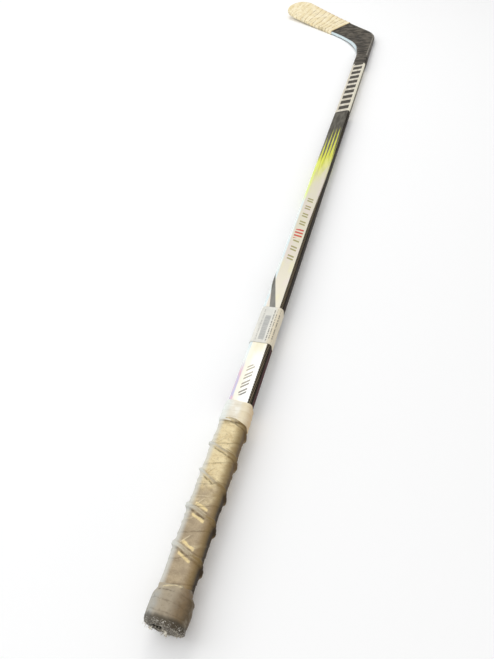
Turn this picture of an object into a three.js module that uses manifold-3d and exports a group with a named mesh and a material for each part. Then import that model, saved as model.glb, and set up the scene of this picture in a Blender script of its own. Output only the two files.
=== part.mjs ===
// Ice hockey stick, left-handed, lying flat with the forehand (concave) side of its blade up.
// Millimetres. The stick is built along +Y from its butt end at Y = 0, with +Z square to the
// wide face of the shaft, and is then laid down on its knob and on the back of its blade.
import * as THREE from "three";
import { mergeVertices } from "three/addons/utils/BufferGeometryUtils.js";
import Module from "manifold-3d";

const { degToRad, lerp, smoothstep } = THREE.MathUtils;

// Shaft
const STICK_LENGTH = 1523; // butt end to the sharp corner of the heel
const SHAFT_WIDTH = 30;
const SHAFT_THICKNESS = 20;
const SHAFT_CORNER = 5;
const SHAFT_WALL = 1.6;
const TUBE_START = 3;
const TUBE_END = 1345;
const BARE_START = 417; // the bare stretch of shaft between the label and the blade
const GAP = 0.3; // between pieces that touch
const CORNER_STEPS = 3; // facets in one rounded corner of a section

// Blade
const BLADE_TURN = degToRad(50.5); // from the line of the shaft to the sole of the blade
const BLADE_LENGTH = 321;
const BLADE_HEIGHT = 69;
const BLADE_CURVE = 29; // how far the toe rises out of the plane of the shaft
const BLADE_OPENING = 10; // how far the top edge leans back at the toe
const ROCKER = 4.2;
const THROAT_START = -100; // along the sole, where the thickness starts to fall
const THROAT_END = 40;
const BLADE_THICKNESS_HEEL = 9;
const BLADE_THICKNESS_TOE = 5.5;
const HEEL_ROUND = 34; // length of sole and of shaft edge that the heel corner takes up
const STRAIGHT_START = 95; // along the sole, where the throat's curve has ended
const TOE_LOWER = { length: 52, height: 44 };
const TOE_UPPER = { length: 40, height: BLADE_HEIGHT - TOE_LOWER.height };
const TOE_FLAT_SHARE = 0.86; // how far round the toe's curves the stations go
const SKIN_WALL = 1.4;
const EDGE_STRIP = { thickness: 1.8, depth: 1.5 };
const CORE_INSET = 3.2;
const CORE_SPAN = [0.9, 2.7]; // places along the blade that its cores run between
const HEEL_INSET = 5.2;
const HEEL_SPAN = [0.15, 0.8];
const RIB_THICKNESS = 2.2;
const BEND_STEPS = 12;
const BLADE_STEPS = 8;
const TOE_STEPS = 5;

// Tenon of the blade inside the shaft
const TENON_START = 1262;
const TENON_END = 1361;
const TENON_WALL = 1.8;

// Tape
const TAPE = 0.9;
const TAPE_START_SOLE = 1.045; // places along the two edges of the blade where its tape starts
const TAPE_START_TOP = 1.06;
const CORD_RADIUS = 1.3;
const CORD_PITCH = 38.5;
const CORD_PHASE = 188; // a crossing of the shaft's left side
const CORD_START = 209;
const CORD_END = 43;
const CORD_SIDES = 6;
const RIDGE_OVERRUN = 3; // how far the ridge over the cord runs on past the cord's ends
const GROOVE_OVERRUN = 1.2;
const GRIP_START = 30;
const GRIP_END = 221;
const COLLAR_START = 218;
const COLLAR_END = 247;
const COLLAR_TAPE = 1.3; // its turns lie over each other
const KNOB_RADIUS = 20.6;
const KNOB_END = -3; // the taped end of the knob, past the butt
const KNOB_NECK = 30;
const KNOB_EDGE = 4.5; // length of the rounded edge at the end
const KNOB_SHOULDER = 9.5; // length of the taper down to the neck
const KNOB_MOUTH = 5.6; // how far in from the knob's side its end stays closed
const NECK_WRAP = 6; // tape that runs on from the knob over the grip
const PATCH_RADIUS = 13.6;
const PATCH_HOLE = { x: -5.6, z: -0.5, wide: 4.8, high: 7 };
const PLUG_FLANGE = 2.6;
const PLUG_DEPTH = 38;

// Label
const LABEL_START = 344;
const LABEL_END = 412;
const LABEL_THICKNESS = 0.3;

// How the stick lies on the floor
const REST_PITCH = degToRad(-0.44);
const REST_ROLL = degToRad(-2.084);

const MATERIALS = {
  carbon: { color: 0x35302b, roughness: 0.35, metalness: 0.1 },
  blade: { color: 0x5b5249, roughness: 0.4, metalness: 0.1 },
  foam: { color: 0xd9d2bd, roughness: 0.9, metalness: 0 },
  plastic: { color: 0x1d1d1f, roughness: 0.55, metalness: 0 },
  edge: { color: 0x2b2723, roughness: 0.5, metalness: 0 },
  bladeTape: { color: 0xebddb5, roughness: 0.9, metalness: 0 },
  gripTape: { color: 0xb9a581, roughness: 0.95, metalness: 0 },
  collarTape: { color: 0xf0ebdc, roughness: 0.9, metalness: 0 },
  paper: { color: 0xe9e7df, roughness: 0.7, metalness: 0 },
};

const wasm = await Module();
wasm.setup();

// ---------------------------------------------------------------- general solids

function geometryFrom(points, faces) {
  const geometry = new THREE.BufferGeometry();
  geometry.setAttribute("position", new THREE.Float32BufferAttribute(points.flat(), 3));
  geometry.setIndex(faces.flat());
  return geometry;
}

// A closed solid between two grids of points with the same rows and columns.
// "ring" joins the last column to the first. "cup" closes the last row of each grid on its own.
function solidBetween(outside, inside, { ring = false, cup = false } = {}) {
  const rows = outside.length;
  const columns = outside[0].length;
  const points = [...outside.flat(), ...inside.flat()];
  const faces = [];
  const out = (i, j) => i * columns + (j % columns);
  const inn = (i, j) => rows * columns + out(i, j);
  const quad = (a, b, c, d) => faces.push([a, b, c], [a, c, d]);
  const across = ring ? columns : columns - 1;
  for (let i = 0; i < rows - 1; i += 1) {
    for (let j = 0; j < across; j += 1) {
      quad(out(i, j), out(i, j + 1), out(i + 1, j + 1), out(i + 1, j));
      quad(inn(i, j), inn(i + 1, j), inn(i + 1, j + 1), inn(i, j + 1));
    }
  }
  for (let j = 0; j < across; j += 1) {
    quad(out(0, j), inn(0, j), inn(0, j + 1), out(0, j + 1));
    if (!cup) quad(out(rows - 1, j), out(rows - 1, j + 1), inn(rows - 1, j + 1), inn(rows - 1, j));
  }
  if (cup) {
    for (let j = 1; j < columns / 2; j += 1) {
      const far = columns - j;
      const last = rows - 1;
      const ends = j === 1 ? [[0, 1, far]] : [[j - 1, j, far], [j - 1, far, far + 1]];
      for (const [a, b, c] of ends) {
        faces.push([out(last, a), out(last, b), out(last, c)]);
        faces.push([inn(last, a), inn(last, c), inn(last, b)]);
      }
    }
    const half = columns / 2;
    faces.push([out(rows - 1, half - 1), out(rows - 1, half), out(rows - 1, half + 1)]);
    faces.push([inn(rows - 1, half - 1), inn(rows - 1, half + 1), inn(rows - 1, half)]);
  }
  if (!ring) {
    for (let i = 0; i < rows - 1; i += 1) {
      quad(out(i, 0), out(i + 1, 0), inn(i + 1, 0), inn(i, 0));
      quad(out(i, across), inn(i, across), inn(i + 1, across), out(i + 1, across));
    }
  }
  return outwards(geometryFrom(points, faces));
}

// Turns the faces of a closed solid out, if they point in.
function outwards(geometry) {
  const position = geometry.getAttribute("position");
  const index = geometry.getIndex().array;
  const [a, b, c] = [new THREE.Vector3(), new THREE.Vector3(), new THREE.Vector3()];
  let volume = 0;
  for (let k = 0; k < index.length; k += 3) {
    a.fromBufferAttribute(position, index[k]);
    b.fromBufferAttribute(position, index[k + 1]);
    c.fromBufferAttribute(position, index[k + 2]);
    volume += a.dot(b.cross(c));
  }
  if (volume < 0) {
    for (let k = 0; k < index.length; k += 3) {
      [index[k], index[k + 1]] = [index[k + 1], index[k]];
    }
  }
  return geometry;
}

function toManifold(geometry) {
  const plain = geometry.clone();
  plain.deleteAttribute("normal");
  plain.deleteAttribute("uv");
  const merged = mergeVertices(plain, 1e-4);
  return new wasm.Manifold(
    new wasm.Mesh({
      numProp: 3,
      vertProperties: new Float32Array(merged.getAttribute("position").array),
      triVerts: new Uint32Array(merged.getIndex().array),
    }),
  );
}

function fromManifold(solid) {
  const mesh = solid.getMesh();
  const geometry = new THREE.BufferGeometry();
  geometry.setAttribute("position", new THREE.BufferAttribute(mesh.vertProperties, 3));
  geometry.setIndex(new THREE.BufferAttribute(mesh.triVerts, 1));
  return geometry;
}

// ---------------------------------------------------------------- sections of the shaft

function roundedRectangle(grow) {
  const x = SHAFT_WIDTH / 2 + grow;
  const z = SHAFT_THICKNESS / 2 + grow;
  const r = SHAFT_CORNER + grow;
  const shape = new THREE.Shape();
  shape.moveTo(x, z - r);
  shape.absarc(x - r, z - r, r, 0, Math.PI / 2);
  shape.absarc(-x + r, z - r, r, Math.PI / 2, Math.PI);
  shape.absarc(-x + r, -z + r, r, Math.PI, 1.5 * Math.PI);
  shape.absarc(x - r, -z + r, r, 1.5 * Math.PI, 2 * Math.PI);
  return shape;
}

// A straight bar or tube along the shaft.
function alongShaft(shape, start, end) {
  const settings = { depth: end - start, bevelEnabled: false, curveSegments: CORNER_STEPS };
  const geometry = new THREE.ExtrudeGeometry(shape, settings);
  return geometry.rotateX(-Math.PI / 2).translate(0, start, 0);
}

// Points round the shaft's section, from the middle of the left side over the top.
// Each has its place, its outward direction and its share of the way round.
function sectionPoints(grow) {
  const flatX = SHAFT_WIDTH / 2 - SHAFT_CORNER;
  const flatZ = SHAFT_THICKNESS / 2 - SHAFT_CORNER;
  const radius = SHAFT_CORNER + grow;
  const points = [];
  const corners = [[-flatX, flatZ], [flatX, flatZ], [flatX, -flatZ], [-flatX, -flatZ]];
  corners.forEach(([x, z], number) => {
    const first = Math.PI - (number * Math.PI) / 2;
    const onWideFace = number % 2 === 1;
    points.push({
      x: onWideFace ? 0 : Math.sign(x) * (flatX + radius),
      z: onWideFace ? Math.sign(z) * (flatZ + radius) : 0,
      turn: first,
    });
    for (let step = 0; step <= CORNER_STEPS; step += 1) {
      const turn = first - (step / CORNER_STEPS) * (Math.PI / 2);
      points.push({ x: x + radius * Math.cos(turn), z: z + radius * Math.sin(turn), turn });
    }
  });
  let length = 0;
  points.forEach((point, k) => {
    point.along = length;
    const next = points[(k + 1) % points.length];
    length += Math.hypot(next.x - point.x, next.z - point.z);
  });
  points.forEach((point) => {
    point.share = point.along / length;
  });
  return points;
}

// One ring of points at y, grown from the shaft's section and drawn towards a circle.
function ringAt(y, grow, radius = 0, round = 0) {
  return sectionPoints(grow).map(({ x, z }) => {
    const turn = Math.atan2(z, x);
    return [lerp(x, radius * Math.cos(turn), round), y, lerp(z, radius * Math.sin(turn), round)];
  });
}

// A sleeve round the shaft. Each row is [y, inside ring, outside ring], and each ring is
// [grow, radius, round] as ringAt takes them.
function sleeve(rows) {
  const outside = rows.map(([y, , ring]) => ringAt(y, ...ring));
  const inside = rows.map(([y, ring]) => ringAt(y, ...ring));
  return solidBetween(outside, inside, { ring: true });
}

// ---------------------------------------------------------------- outline of the blade

const toToe = new THREE.Vector2(-Math.sin(BLADE_TURN), Math.cos(BLADE_TURN));
const toShaft = new THREE.Vector2(-Math.cos(BLADE_TURN), -Math.sin(BLADE_TURN));
const heelCorner = new THREE.Vector2(SHAFT_WIDTH / 2, STICK_LENGTH);

// A point "along" the sole from the heel and "up" from it, in the plane of the stick.
function bladePoint(along, up) {
  return heelCorner.clone().addScaledVector(toToe, along).addScaledVector(toShaft, up);
}

function rockerAt(along) {
  return ROCKER * (2 * (along / BLADE_LENGTH) - 1) ** 2;
}

// The sole (up = 0) or the top edge (up = BLADE_HEIGHT), bowed by the rocker.
function rockerCurve(start, end, up) {
  const slope = (4 * ROCKER * (2 * (start / BLADE_LENGTH) - 1)) / BLADE_LENGTH;
  const middle = (start + end) / 2;
  return new THREE.QuadraticBezierCurve(
    bladePoint(start, up + rockerAt(start)),
    bladePoint(middle, up + rockerAt(start) + slope * (middle - start)),
    bladePoint(end, up + rockerAt(end)),
  );
}

// A quarter of an oval at the toe, from the sole (side = 1) or from the top edge (side = -1).
function toeCurve({ length, height }, edgeUp, side) {
  const handle = 0.5523;
  const base = BLADE_LENGTH - length;
  const up = edgeUp + rockerAt(BLADE_LENGTH);
  return new THREE.CubicBezierCurve(
    bladePoint(base, edgeUp + rockerAt(base)),
    bladePoint(base + handle * length, up),
    bladePoint(BLADE_LENGTH, up + side * height * (1 - handle)),
    bladePoint(BLADE_LENGTH, up + side * height),
  );
}

function soleMeetsShaft() {
  const along = -rockerAt(0) / Math.tan(BLADE_TURN);
  return bladePoint(along, rockerAt(along));
}

const soleBend = new THREE.CurvePath();
const corner = soleMeetsShaft();
const heelTop = new THREE.Vector2(SHAFT_WIDTH / 2, corner.y - HEEL_ROUND);
const soleFirst = rockerCurve(HEEL_ROUND, STRAIGHT_START, 0);
soleBend.add(new THREE.LineCurve(new THREE.Vector2(SHAFT_WIDTH / 2, TUBE_END + GAP), heelTop));
soleBend.add(new THREE.QuadraticBezierCurve(heelTop, corner, soleFirst.v0));
soleBend.add(soleFirst);

const throatStart = new THREE.Vector2(-SHAFT_WIDTH / 2, TUBE_END + GAP);
const throatEnd = bladePoint(STRAIGHT_START, BLADE_HEIGHT + rockerAt(STRAIGHT_START));
const throatCorner = bladePoint(
  (SHAFT_WIDTH - (BLADE_HEIGHT + ROCKER) * Math.cos(BLADE_TURN)) / Math.sin(BLADE_TURN),
  BLADE_HEIGHT + ROCKER,
);
const edges = {
  sole: [
    soleBend,
    rockerCurve(STRAIGHT_START, BLADE_LENGTH - TOE_LOWER.length, 0),
    toeCurve(TOE_LOWER, 0, 1),
  ],
  top: [
    new THREE.QuadraticBezierCurve(throatStart, throatCorner, throatEnd),
    rockerCurve(STRAIGHT_START, BLADE_LENGTH - TOE_UPPER.length, BLADE_HEIGHT),
    toeCurve(TOE_UPPER, BLADE_HEIGHT, -1),
  ],
};

// A place on an edge: 0 to 1 round the bend, 1 to 2 along the blade, 2 to 3 round the toe.
function edgePoint(edge, place) {
  const part = Math.min(Math.floor(place), 2);
  const share = (place - part) * (part === 2 ? TOE_FLAT_SHARE : 1);
  return edges[edge][part].getPointAt(share);
}

function middleHeight(x, y) {
  const offset = new THREE.Vector2(x, y).sub(heelCorner);
  const share = Math.max(offset.dot(toToe) / BLADE_LENGTH, 0);
  const up = offset.dot(toShaft) / (BLADE_HEIGHT / 2) - 1;
  return BLADE_CURVE * share ** 2 - BLADE_OPENING * share * up;
}

function thicknessAt(middle) {
  const along = middle.clone().sub(heelCorner).dot(toToe);
  const share = smoothstep(along, THROAT_START, THROAT_END);
  const blade = lerp(BLADE_THICKNESS_HEEL, BLADE_THICKNESS_TOE, Math.max(along, 0) / BLADE_LENGTH);
  return lerp(SHAFT_THICKNESS, blade, share);
}

// One section of the blade between its sole and its top edge.
function station(solePlace, topPlace = solePlace) {
  const sole = edgePoint("sole", solePlace);
  const top = edgePoint("top", topPlace);
  const width = sole.distanceTo(top);
  const thickness = thicknessAt(sole.clone().lerp(top, 0.5));
  const at = (across, height) => {
    const { x, y } = sole.clone().lerp(top, across / width);
    return [x, y, middleHeight(x, y) + height];
  };
  return { width, thickness, at };
}

function places(start, end, steps) {
  return Array.from({ length: steps + 1 }, (_, k) => lerp(start, end, k / steps));
}

const allPlaces = [
  ...places(0, 1, BEND_STEPS),
  ...places(1, 2, BLADE_STEPS).slice(1),
  ...places(2, 3, TOE_STEPS).slice(1),
];

// Half of a rounded section of the blade, from its sole to its top edge.
function halfSection({ width, thickness }, grow) {
  const radius = Math.min(SHAFT_CORNER, 0.4 * thickness);
  const lift = thickness / 2 - radius;
  const reach = radius + grow;
  const steps = places(0, Math.PI / 2, CORNER_STEPS - 1);
  return [
    [-grow, 0],
    ...steps.map((turn) => [radius - reach * Math.cos(turn), lift + reach * Math.sin(turn)]),
    [width / 2, thickness / 2 + grow],
    ...steps.toReversed().map((turn) => [
      width - radius + reach * Math.cos(turn),
      lift + reach * Math.sin(turn),
    ]),
    [width + grow, 0],
  ];
}

// ---------------------------------------------------------------- pieces of the blade

function bladeSkin(side) {
  const rim = EDGE_STRIP.thickness / 2 + GAP;
  const grid = (grow) => allPlaces.map((place) => {
    const section = station(place);
    return halfSection(section, grow).map(([across, height]) => (
      section.at(across, side * Math.max(height, rim))
    ));
  });
  return solidBetween(grid(0), grid(-SKIN_WALL));
}

// A filling of the blade between two places along it and two distances from its sole.
function bladeFilling([from, to], spanOf) {
  const chosen = allPlaces.filter((place) => place >= from && place <= to);
  const grid = (side) => chosen.map((place) => {
    const section = station(place);
    const [near, far] = spanOf(section.width);
    const height = side * (section.thickness / 2 - SKIN_WALL - GAP);
    return [near, (near + far) / 2, far].map((across) => section.at(across, height));
  });
  return solidBetween(grid(1), grid(-1));
}

function edgeStrip(depthFrom) {
  const grid = (side) => allPlaces.map((place) => {
    const section = station(place);
    const [near, far] = depthFrom(section.width);
    return [near, far].map((across) => section.at(across, (side * EDGE_STRIP.thickness) / 2));
  });
  return solidBetween(grid(1), grid(-1));
}

function bladeTape() {
  const pairs = [
    ...places(0, 1, BLADE_STEPS).map((share) => [
      lerp(TAPE_START_SOLE, 2, share),
      lerp(TAPE_START_TOP, 2, share),
    ]),
    ...places(2, 3, TOE_STEPS).slice(1).map((place) => [place, place]),
  ];
  const grid = (grow) => pairs.map(([solePlace, topPlace], row) => {
    const section = station(solePlace, topPlace);
    const shift = row === pairs.length - 1 ? grow : 0;
    const upper = halfSection(section, grow);
    const ring = [...upper, ...upper.slice(1, -1).toReversed().map(([a, z]) => [a, -z])];
    return ring.map(([across, height]) => {
      const [x, y, z] = section.at(across, height);
      return [x + toToe.x * shift, y + toToe.y * shift, z];
    });
  });
  return solidBetween(grid(GAP + TAPE), grid(GAP), { ring: true, cup: true });
}

// ---------------------------------------------------------------- shaft, plug and tenon

// Each wide and narrow face is one flat strip, with the bare stretch as a facet of its own.
function shaftTube() {
  const cornersOnly = (grow) => sectionPoints(grow).filter((_, k) => k % (CORNER_STEPS + 2) > 0);
  const grid = (grow) => [TUBE_START, BARE_START, TUBE_END].map((y) => (
    cornersOnly(grow).map(({ x, z }) => [x, y, z])
  ));
  return solidBetween(grid(0), grid(-SHAFT_WALL), { ring: true });
}

function buttPlug() {
  const face = TUBE_START - GAP;
  const flange = alongShaft(roundedRectangle(0), face - PLUG_FLANGE, face);
  const stem = alongShaft(roundedRectangle(-SHAFT_WALL - GAP), face - 1, TUBE_START + PLUG_DEPTH);
  return fromManifold(toManifold(flange).add(toManifold(stem)));
}

function tenonShell() {
  const shape = roundedRectangle(-SHAFT_WALL - GAP);
  shape.holes.push(roundedRectangle(-SHAFT_WALL - GAP - TENON_WALL));
  return alongShaft(shape, TENON_START, TENON_END);
}

function tenonCore() {
  const shape = roundedRectangle(-SHAFT_WALL - TENON_WALL - 2 * GAP);
  return alongShaft(shape, TENON_START + 1, TENON_END - 1);
}

// ---------------------------------------------------------------- tape at the butt end

// The twisted tape's path: its points, each with the direction away from the shaft.
function cordPath(lift, start, end) {
  const ring = sectionPoints(lift);
  const path = [];
  for (let turn = 0; ; turn += 1) {
    for (const { x, z, turn: facing, share } of ring) {
      const y = CORD_PHASE + CORD_PITCH - (turn + share) * CORD_PITCH;
      if (y < end) return path;
      if (y <= start) path.push({ place: new THREE.Vector3(x, y, z), facing });
    }
  }
}

// A bar of many-sided section along the twisted tape's path.
function cordBar(radius, overrun = 0) {
  const sides = CORD_SIDES;
  const path = cordPath(CORD_RADIUS + GAP, CORD_START + overrun, CORD_END - overrun);
  const rings = path.map(({ place, facing }, k) => {
    const before = path[Math.max(k - 1, 0)].place;
    const after = path[Math.min(k + 1, path.length - 1)].place;
    const forward = after.clone().sub(before).normalize();
    const away = new THREE.Vector3(Math.cos(facing), 0, Math.sin(facing));
    const across = forward.clone().cross(away).normalize();
    return Array.from({ length: sides }, (_, side) => {
      const turn = (2 * Math.PI * (side + 0.5)) / sides;
      const point = place.clone();
      point.addScaledVector(away, radius * Math.cos(turn));
      point.addScaledVector(across, radius * Math.sin(turn));
      return point.toArray();
    });
  });
  const faces = [];
  const last = (rings.length - 1) * sides;
  for (let i = 0; i < rings.length - 1; i += 1) {
    for (let j = 0; j < sides; j += 1) {
      const a = i * sides + j;
      const b = i * sides + ((j + 1) % sides);
      faces.push([a, b, b + sides], [a, b + sides, a + sides]);
    }
  }
  for (let j = 1; j < sides - 1; j += 1) {
    faces.push([0, j + 1, j], [last, last + j, last + j + 1]);
  }
  return outwards(geometryFrom(rings.flat(), faces));
}

function gripTape() {
  const sleeveSolid = sleeve([
    [GRIP_START, [GAP], [GAP + TAPE]],
    [GRIP_END, [GAP], [GAP + TAPE]],
  ]);
  const bore = alongShaft(roundedRectangle(GAP), GRIP_START - 1, GRIP_END + 1);
  const ridge = cordBar(CORD_RADIUS + GAP + TAPE, RIDGE_OVERRUN);
  const groove = cordBar(CORD_RADIUS + GAP, GROOVE_OVERRUN);
  const body = toManifold(sleeveSolid).add(toManifold(ridge));
  return fromManifold(body.subtract(toManifold(groove)).subtract(toManifold(bore)));
}

// The white tape over the end of the grip, down from the grip's own height to the shaft.
function collarTape() {
  const step = GAP + TAPE + GAP;
  return sleeve([
    [COLLAR_START, [step], [step + TAPE]],
    [GRIP_END + 1, [step], [step + COLLAR_TAPE]],
    [GRIP_END + 3, [GAP], [step + COLLAR_TAPE]],
    [lerp(GRIP_END, COLLAR_END, 0.6), [GAP], [step + TAPE]],
    [COLLAR_END - 1, [GAP], [GAP + COLLAR_TAPE]],
    [COLLAR_END, [GAP], [GAP + TAPE]],
  ]);
}

// The wound tape inside the knob, a gap below its outer layer.
function knobRoll() {
  const inner = [GAP];
  const round = (drop) => [TAPE, KNOB_RADIUS - TAPE - GAP - drop, 1];
  return sleeve([
    [KNOB_END + 2.5, inner, round(2.4)],
    [KNOB_END + KNOB_EDGE + 1, inner, round(0)],
    [KNOB_NECK - KNOB_SHOULDER - 0.5, inner, round(0)],
    [KNOB_NECK - 4, inner, round(1.9)],
    [KNOB_NECK - 1, inner, [1]],
  ]);
}

// The knob's outer layer, from the lip round its end to the tape that runs on over the grip.
function knobTape() {
  const wrap = (drop) => [TAPE, KNOB_RADIUS - drop, 1];
  const over = GAP + TAPE + GAP;
  return sleeve([
    [KNOB_END + 0.6, wrap(KNOB_MOUTH + 1), wrap(KNOB_MOUTH - 0.2)],
    [KNOB_END, wrap(KNOB_MOUTH), wrap(KNOB_MOUTH - 2.2)],
    [KNOB_END + KNOB_EDGE, wrap(TAPE), wrap(0)],
    [KNOB_NECK - KNOB_SHOULDER, wrap(TAPE), wrap(0)],
    [KNOB_NECK - 3.5, wrap(2.6), wrap(1.6)],
    [KNOB_NECK - 0.5, [over + 0.5], [over + 2 * TAPE]],
    [KNOB_NECK + NECK_WRAP, [over], [over + TAPE]],
  ]);
}

// The cloth across the butt end, worn through at one side.
function endPatch() {
  const disc = new THREE.Shape().absarc(0, 0, PATCH_RADIUS, 0, 2 * Math.PI);
  const { x, z, wide, high } = PATCH_HOLE;
  disc.holes.push(new THREE.Path().absellipse(x, z, wide, high, 0, 2 * Math.PI));
  return alongShaft(disc, KNOB_END + 1, KNOB_END + 1 + TAPE);
}

// ---------------------------------------------------------------- label

// From the middle of the left side over the wide face and down the right side.
function priceLabel() {
  const points = 2 * (CORNER_STEPS + 2) + 2;
  const grid = (grow) => [LABEL_START, LABEL_END].map((y) => ringAt(y, grow).slice(0, points));
  return solidBetween(grid(GAP + LABEL_THICKNESS), grid(GAP));
}

// ---------------------------------------------------------------- assembly

const half = RIB_THICKNESS / 2;
const pieces = [
  ["shaft_tube", "carbon", shaftTube()],
  ["butt_plug", "plastic", buttPlug()],
  ["tenon_shell", "blade", tenonShell()],
  ["tenon_core", "foam", tenonCore()],
  ["forehand_skin", "blade", bladeSkin(1)],
  ["backhand_skin", "blade", bladeSkin(-1)],
  ["heel_core", "foam", bladeFilling(HEEL_SPAN, (width) => [HEEL_INSET, width - HEEL_INSET])],
  ["lower_core", "foam", bladeFilling(CORE_SPAN, (width) => [CORE_INSET, width / 2 - half - GAP])],
  ["upper_core", "foam", bladeFilling(CORE_SPAN, (width) => [width / 2 + half + GAP, width - CORE_INSET])],
  ["core_rib", "blade", bladeFilling(CORE_SPAN, (width) => [width / 2 - half, width / 2 + half])],
  ["sole_edge_strip", "edge", edgeStrip(() => [0, EDGE_STRIP.depth])],
  ["top_edge_strip", "edge", edgeStrip((width) => [width - EDGE_STRIP.depth, width])],
  ["blade_tape", "bladeTape", bladeTape()],
  ["grip_cord", "gripTape", cordBar(CORD_RADIUS)],
  ["grip_tape", "gripTape", gripTape()],
  ["collar_tape", "collarTape", collarTape()],
  ["knob_roll", "gripTape", knobRoll()],
  ["knob_tape", "gripTape", knobTape()],
  ["end_patch", "gripTape", endPatch()],
  ["price_label", "paper", priceLabel()],
];

const stick = new THREE.Group();
for (const [name, material, geometry] of pieces) {
  const mesh = new THREE.Mesh(geometry, new THREE.MeshStandardMaterial(MATERIALS[material]));
  mesh.name = name;
  stick.add(mesh);
}
stick.rotation.set(REST_PITCH, REST_ROLL, 0);

// The origin is at the centre of the bottom of the stick's box.
const box = new THREE.Box3().setFromObject(stick, true);
const centre = box.getCenter(new THREE.Vector3());
stick.position.set(-centre.x, -centre.y, -box.min.z);

const part = new THREE.Group();
part.add(stick);

export default part;
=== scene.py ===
import math
import random

import bpy
import numpy as np
from mathutils import Matrix, Vector, noise


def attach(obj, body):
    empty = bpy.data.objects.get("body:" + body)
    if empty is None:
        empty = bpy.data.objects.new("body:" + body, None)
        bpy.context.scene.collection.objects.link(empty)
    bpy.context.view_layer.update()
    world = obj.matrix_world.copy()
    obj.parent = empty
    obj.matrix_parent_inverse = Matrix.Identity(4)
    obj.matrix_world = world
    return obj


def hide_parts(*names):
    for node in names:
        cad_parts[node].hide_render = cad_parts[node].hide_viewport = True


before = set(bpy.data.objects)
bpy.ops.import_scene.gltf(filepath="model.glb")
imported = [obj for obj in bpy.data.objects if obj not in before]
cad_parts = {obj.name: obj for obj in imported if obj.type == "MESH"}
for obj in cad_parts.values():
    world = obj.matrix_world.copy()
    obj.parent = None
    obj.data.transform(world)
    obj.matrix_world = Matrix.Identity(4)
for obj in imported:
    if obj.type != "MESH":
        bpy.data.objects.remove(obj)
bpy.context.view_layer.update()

# ------------------------------------------------------------------ the stick's dimensions, mm

STICK_LENGTH = 1523
SHAFT_WIDTH, SHAFT_THICKNESS, SHAFT_CORNER, SHAFT_WALL = 30, 20, 5, 1.6
TUBE_START, TUBE_END = 3, 1345
GAP = 0.3
BLADE_TURN = math.radians(50.5)
BLADE_LENGTH, BLADE_HEIGHT, BLADE_CURVE, BLADE_OPENING = 321, 69, 29, 10
ROCKER = 4.2
THROAT_START, THROAT_END = -100, 40
THICKNESS_HEEL, THICKNESS_TOE = 9, 5.5
HEEL_ROUND, STRAIGHT_START = 34, 95
TOE_LOWER, TOE_UPPER = (52, 44), (40, 25)
SKIN_WALL, STRIP_HALF = 1.4, 0.92
TAPE_START_SOLE, TAPE_START_TOP = 1.045, 1.06
CORD_PITCH, CORD_PHASE, CORD_START, CORD_END = 38.5, 188, 209, 43
GRIP_START, GRIP_END = 30, 221
COLLAR_START, COLLAR_END = 218, 247
KNOB_END = -3
LABEL_START, LABEL_END = 344, 412
REST_PITCH, REST_ROLL = math.radians(-0.44), math.radians(-2.084)

FLAT_X = SHAFT_WIDTH / 2 - SHAFT_CORNER
FLAT_Z = SHAFT_THICKNESS / 2 - SHAFT_CORNER
QUARTER = SHAFT_CORNER * math.pi / 2
PERIMETER = 4 * (FLAT_X + FLAT_Z + QUARTER)


def stick_to_frame():
    """The matrix from the stick's millimetres to the frame's metres, from how the CAD shaft lies."""
    turn = Matrix.Rotation(REST_PITCH, 3, "X") @ Matrix.Rotation(REST_ROLL, 3, "Y")
    points = [vertex.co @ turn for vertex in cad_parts["shaft_tube"].data.vertices]
    low = [min(p[axis] for p in points) for axis in range(3)]
    high = [max(p[axis] for p in points) for axis in range(3)]
    start = Vector(((low[0] + high[0]) / 2, low[1] - TUBE_START / 1000, (low[2] + high[2]) / 2))
    return Matrix.Translation(turn @ start) @ turn.to_4x4() @ Matrix.Scale(0.001, 4)


TO_FRAME = stick_to_frame()


# ------------------------------------------------------------------ camera, floor and light

CAMERA_PLACE = (160.4, -97.0, 525.3)
# Turned left of the shaft's direction, tilted up from straight down, and rolled clockwise.
CAMERA_TURN, CAMERA_TILT, CAMERA_ROLL = math.radians(21.79), math.radians(43.92), math.radians(-8.02)
CAMERA_LENS, SENSOR = 28.85, 36


def add_camera():
    """The camera stands near the butt end and looks along the stick towards its blade."""
    camera = bpy.data.objects.new("camera", bpy.data.cameras.new("camera"))
    bpy.context.scene.collection.objects.link(camera)
    camera.data.lens = CAMERA_LENS
    camera.data.sensor_width = SENSOR
    camera.data.clip_start = 0.01
    turn = TO_FRAME.to_3x3().normalized()
    for angle, axis in ((CAMERA_TURN, "Z"), (CAMERA_TILT, "X"), (CAMERA_ROLL, "Z")):
        turn = turn @ Matrix.Rotation(angle, 3, axis)
    camera.matrix_world = Matrix.Translation(TO_FRAME @ Vector(CAMERA_PLACE)) @ turn.to_4x4()
    bpy.context.scene.camera = camera


def add_softbox(name, place, aim, size, power, color):
    light = bpy.data.objects.new(name, bpy.data.lights.new(name, "AREA"))
    bpy.context.scene.collection.objects.link(light)
    light.data.size = size
    light.data.energy = power
    light.data.color = color
    light.location = place
    light.rotation_euler = (Vector(aim) - Vector(place)).to_track_quat("-Z", "Y").to_euler()


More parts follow.
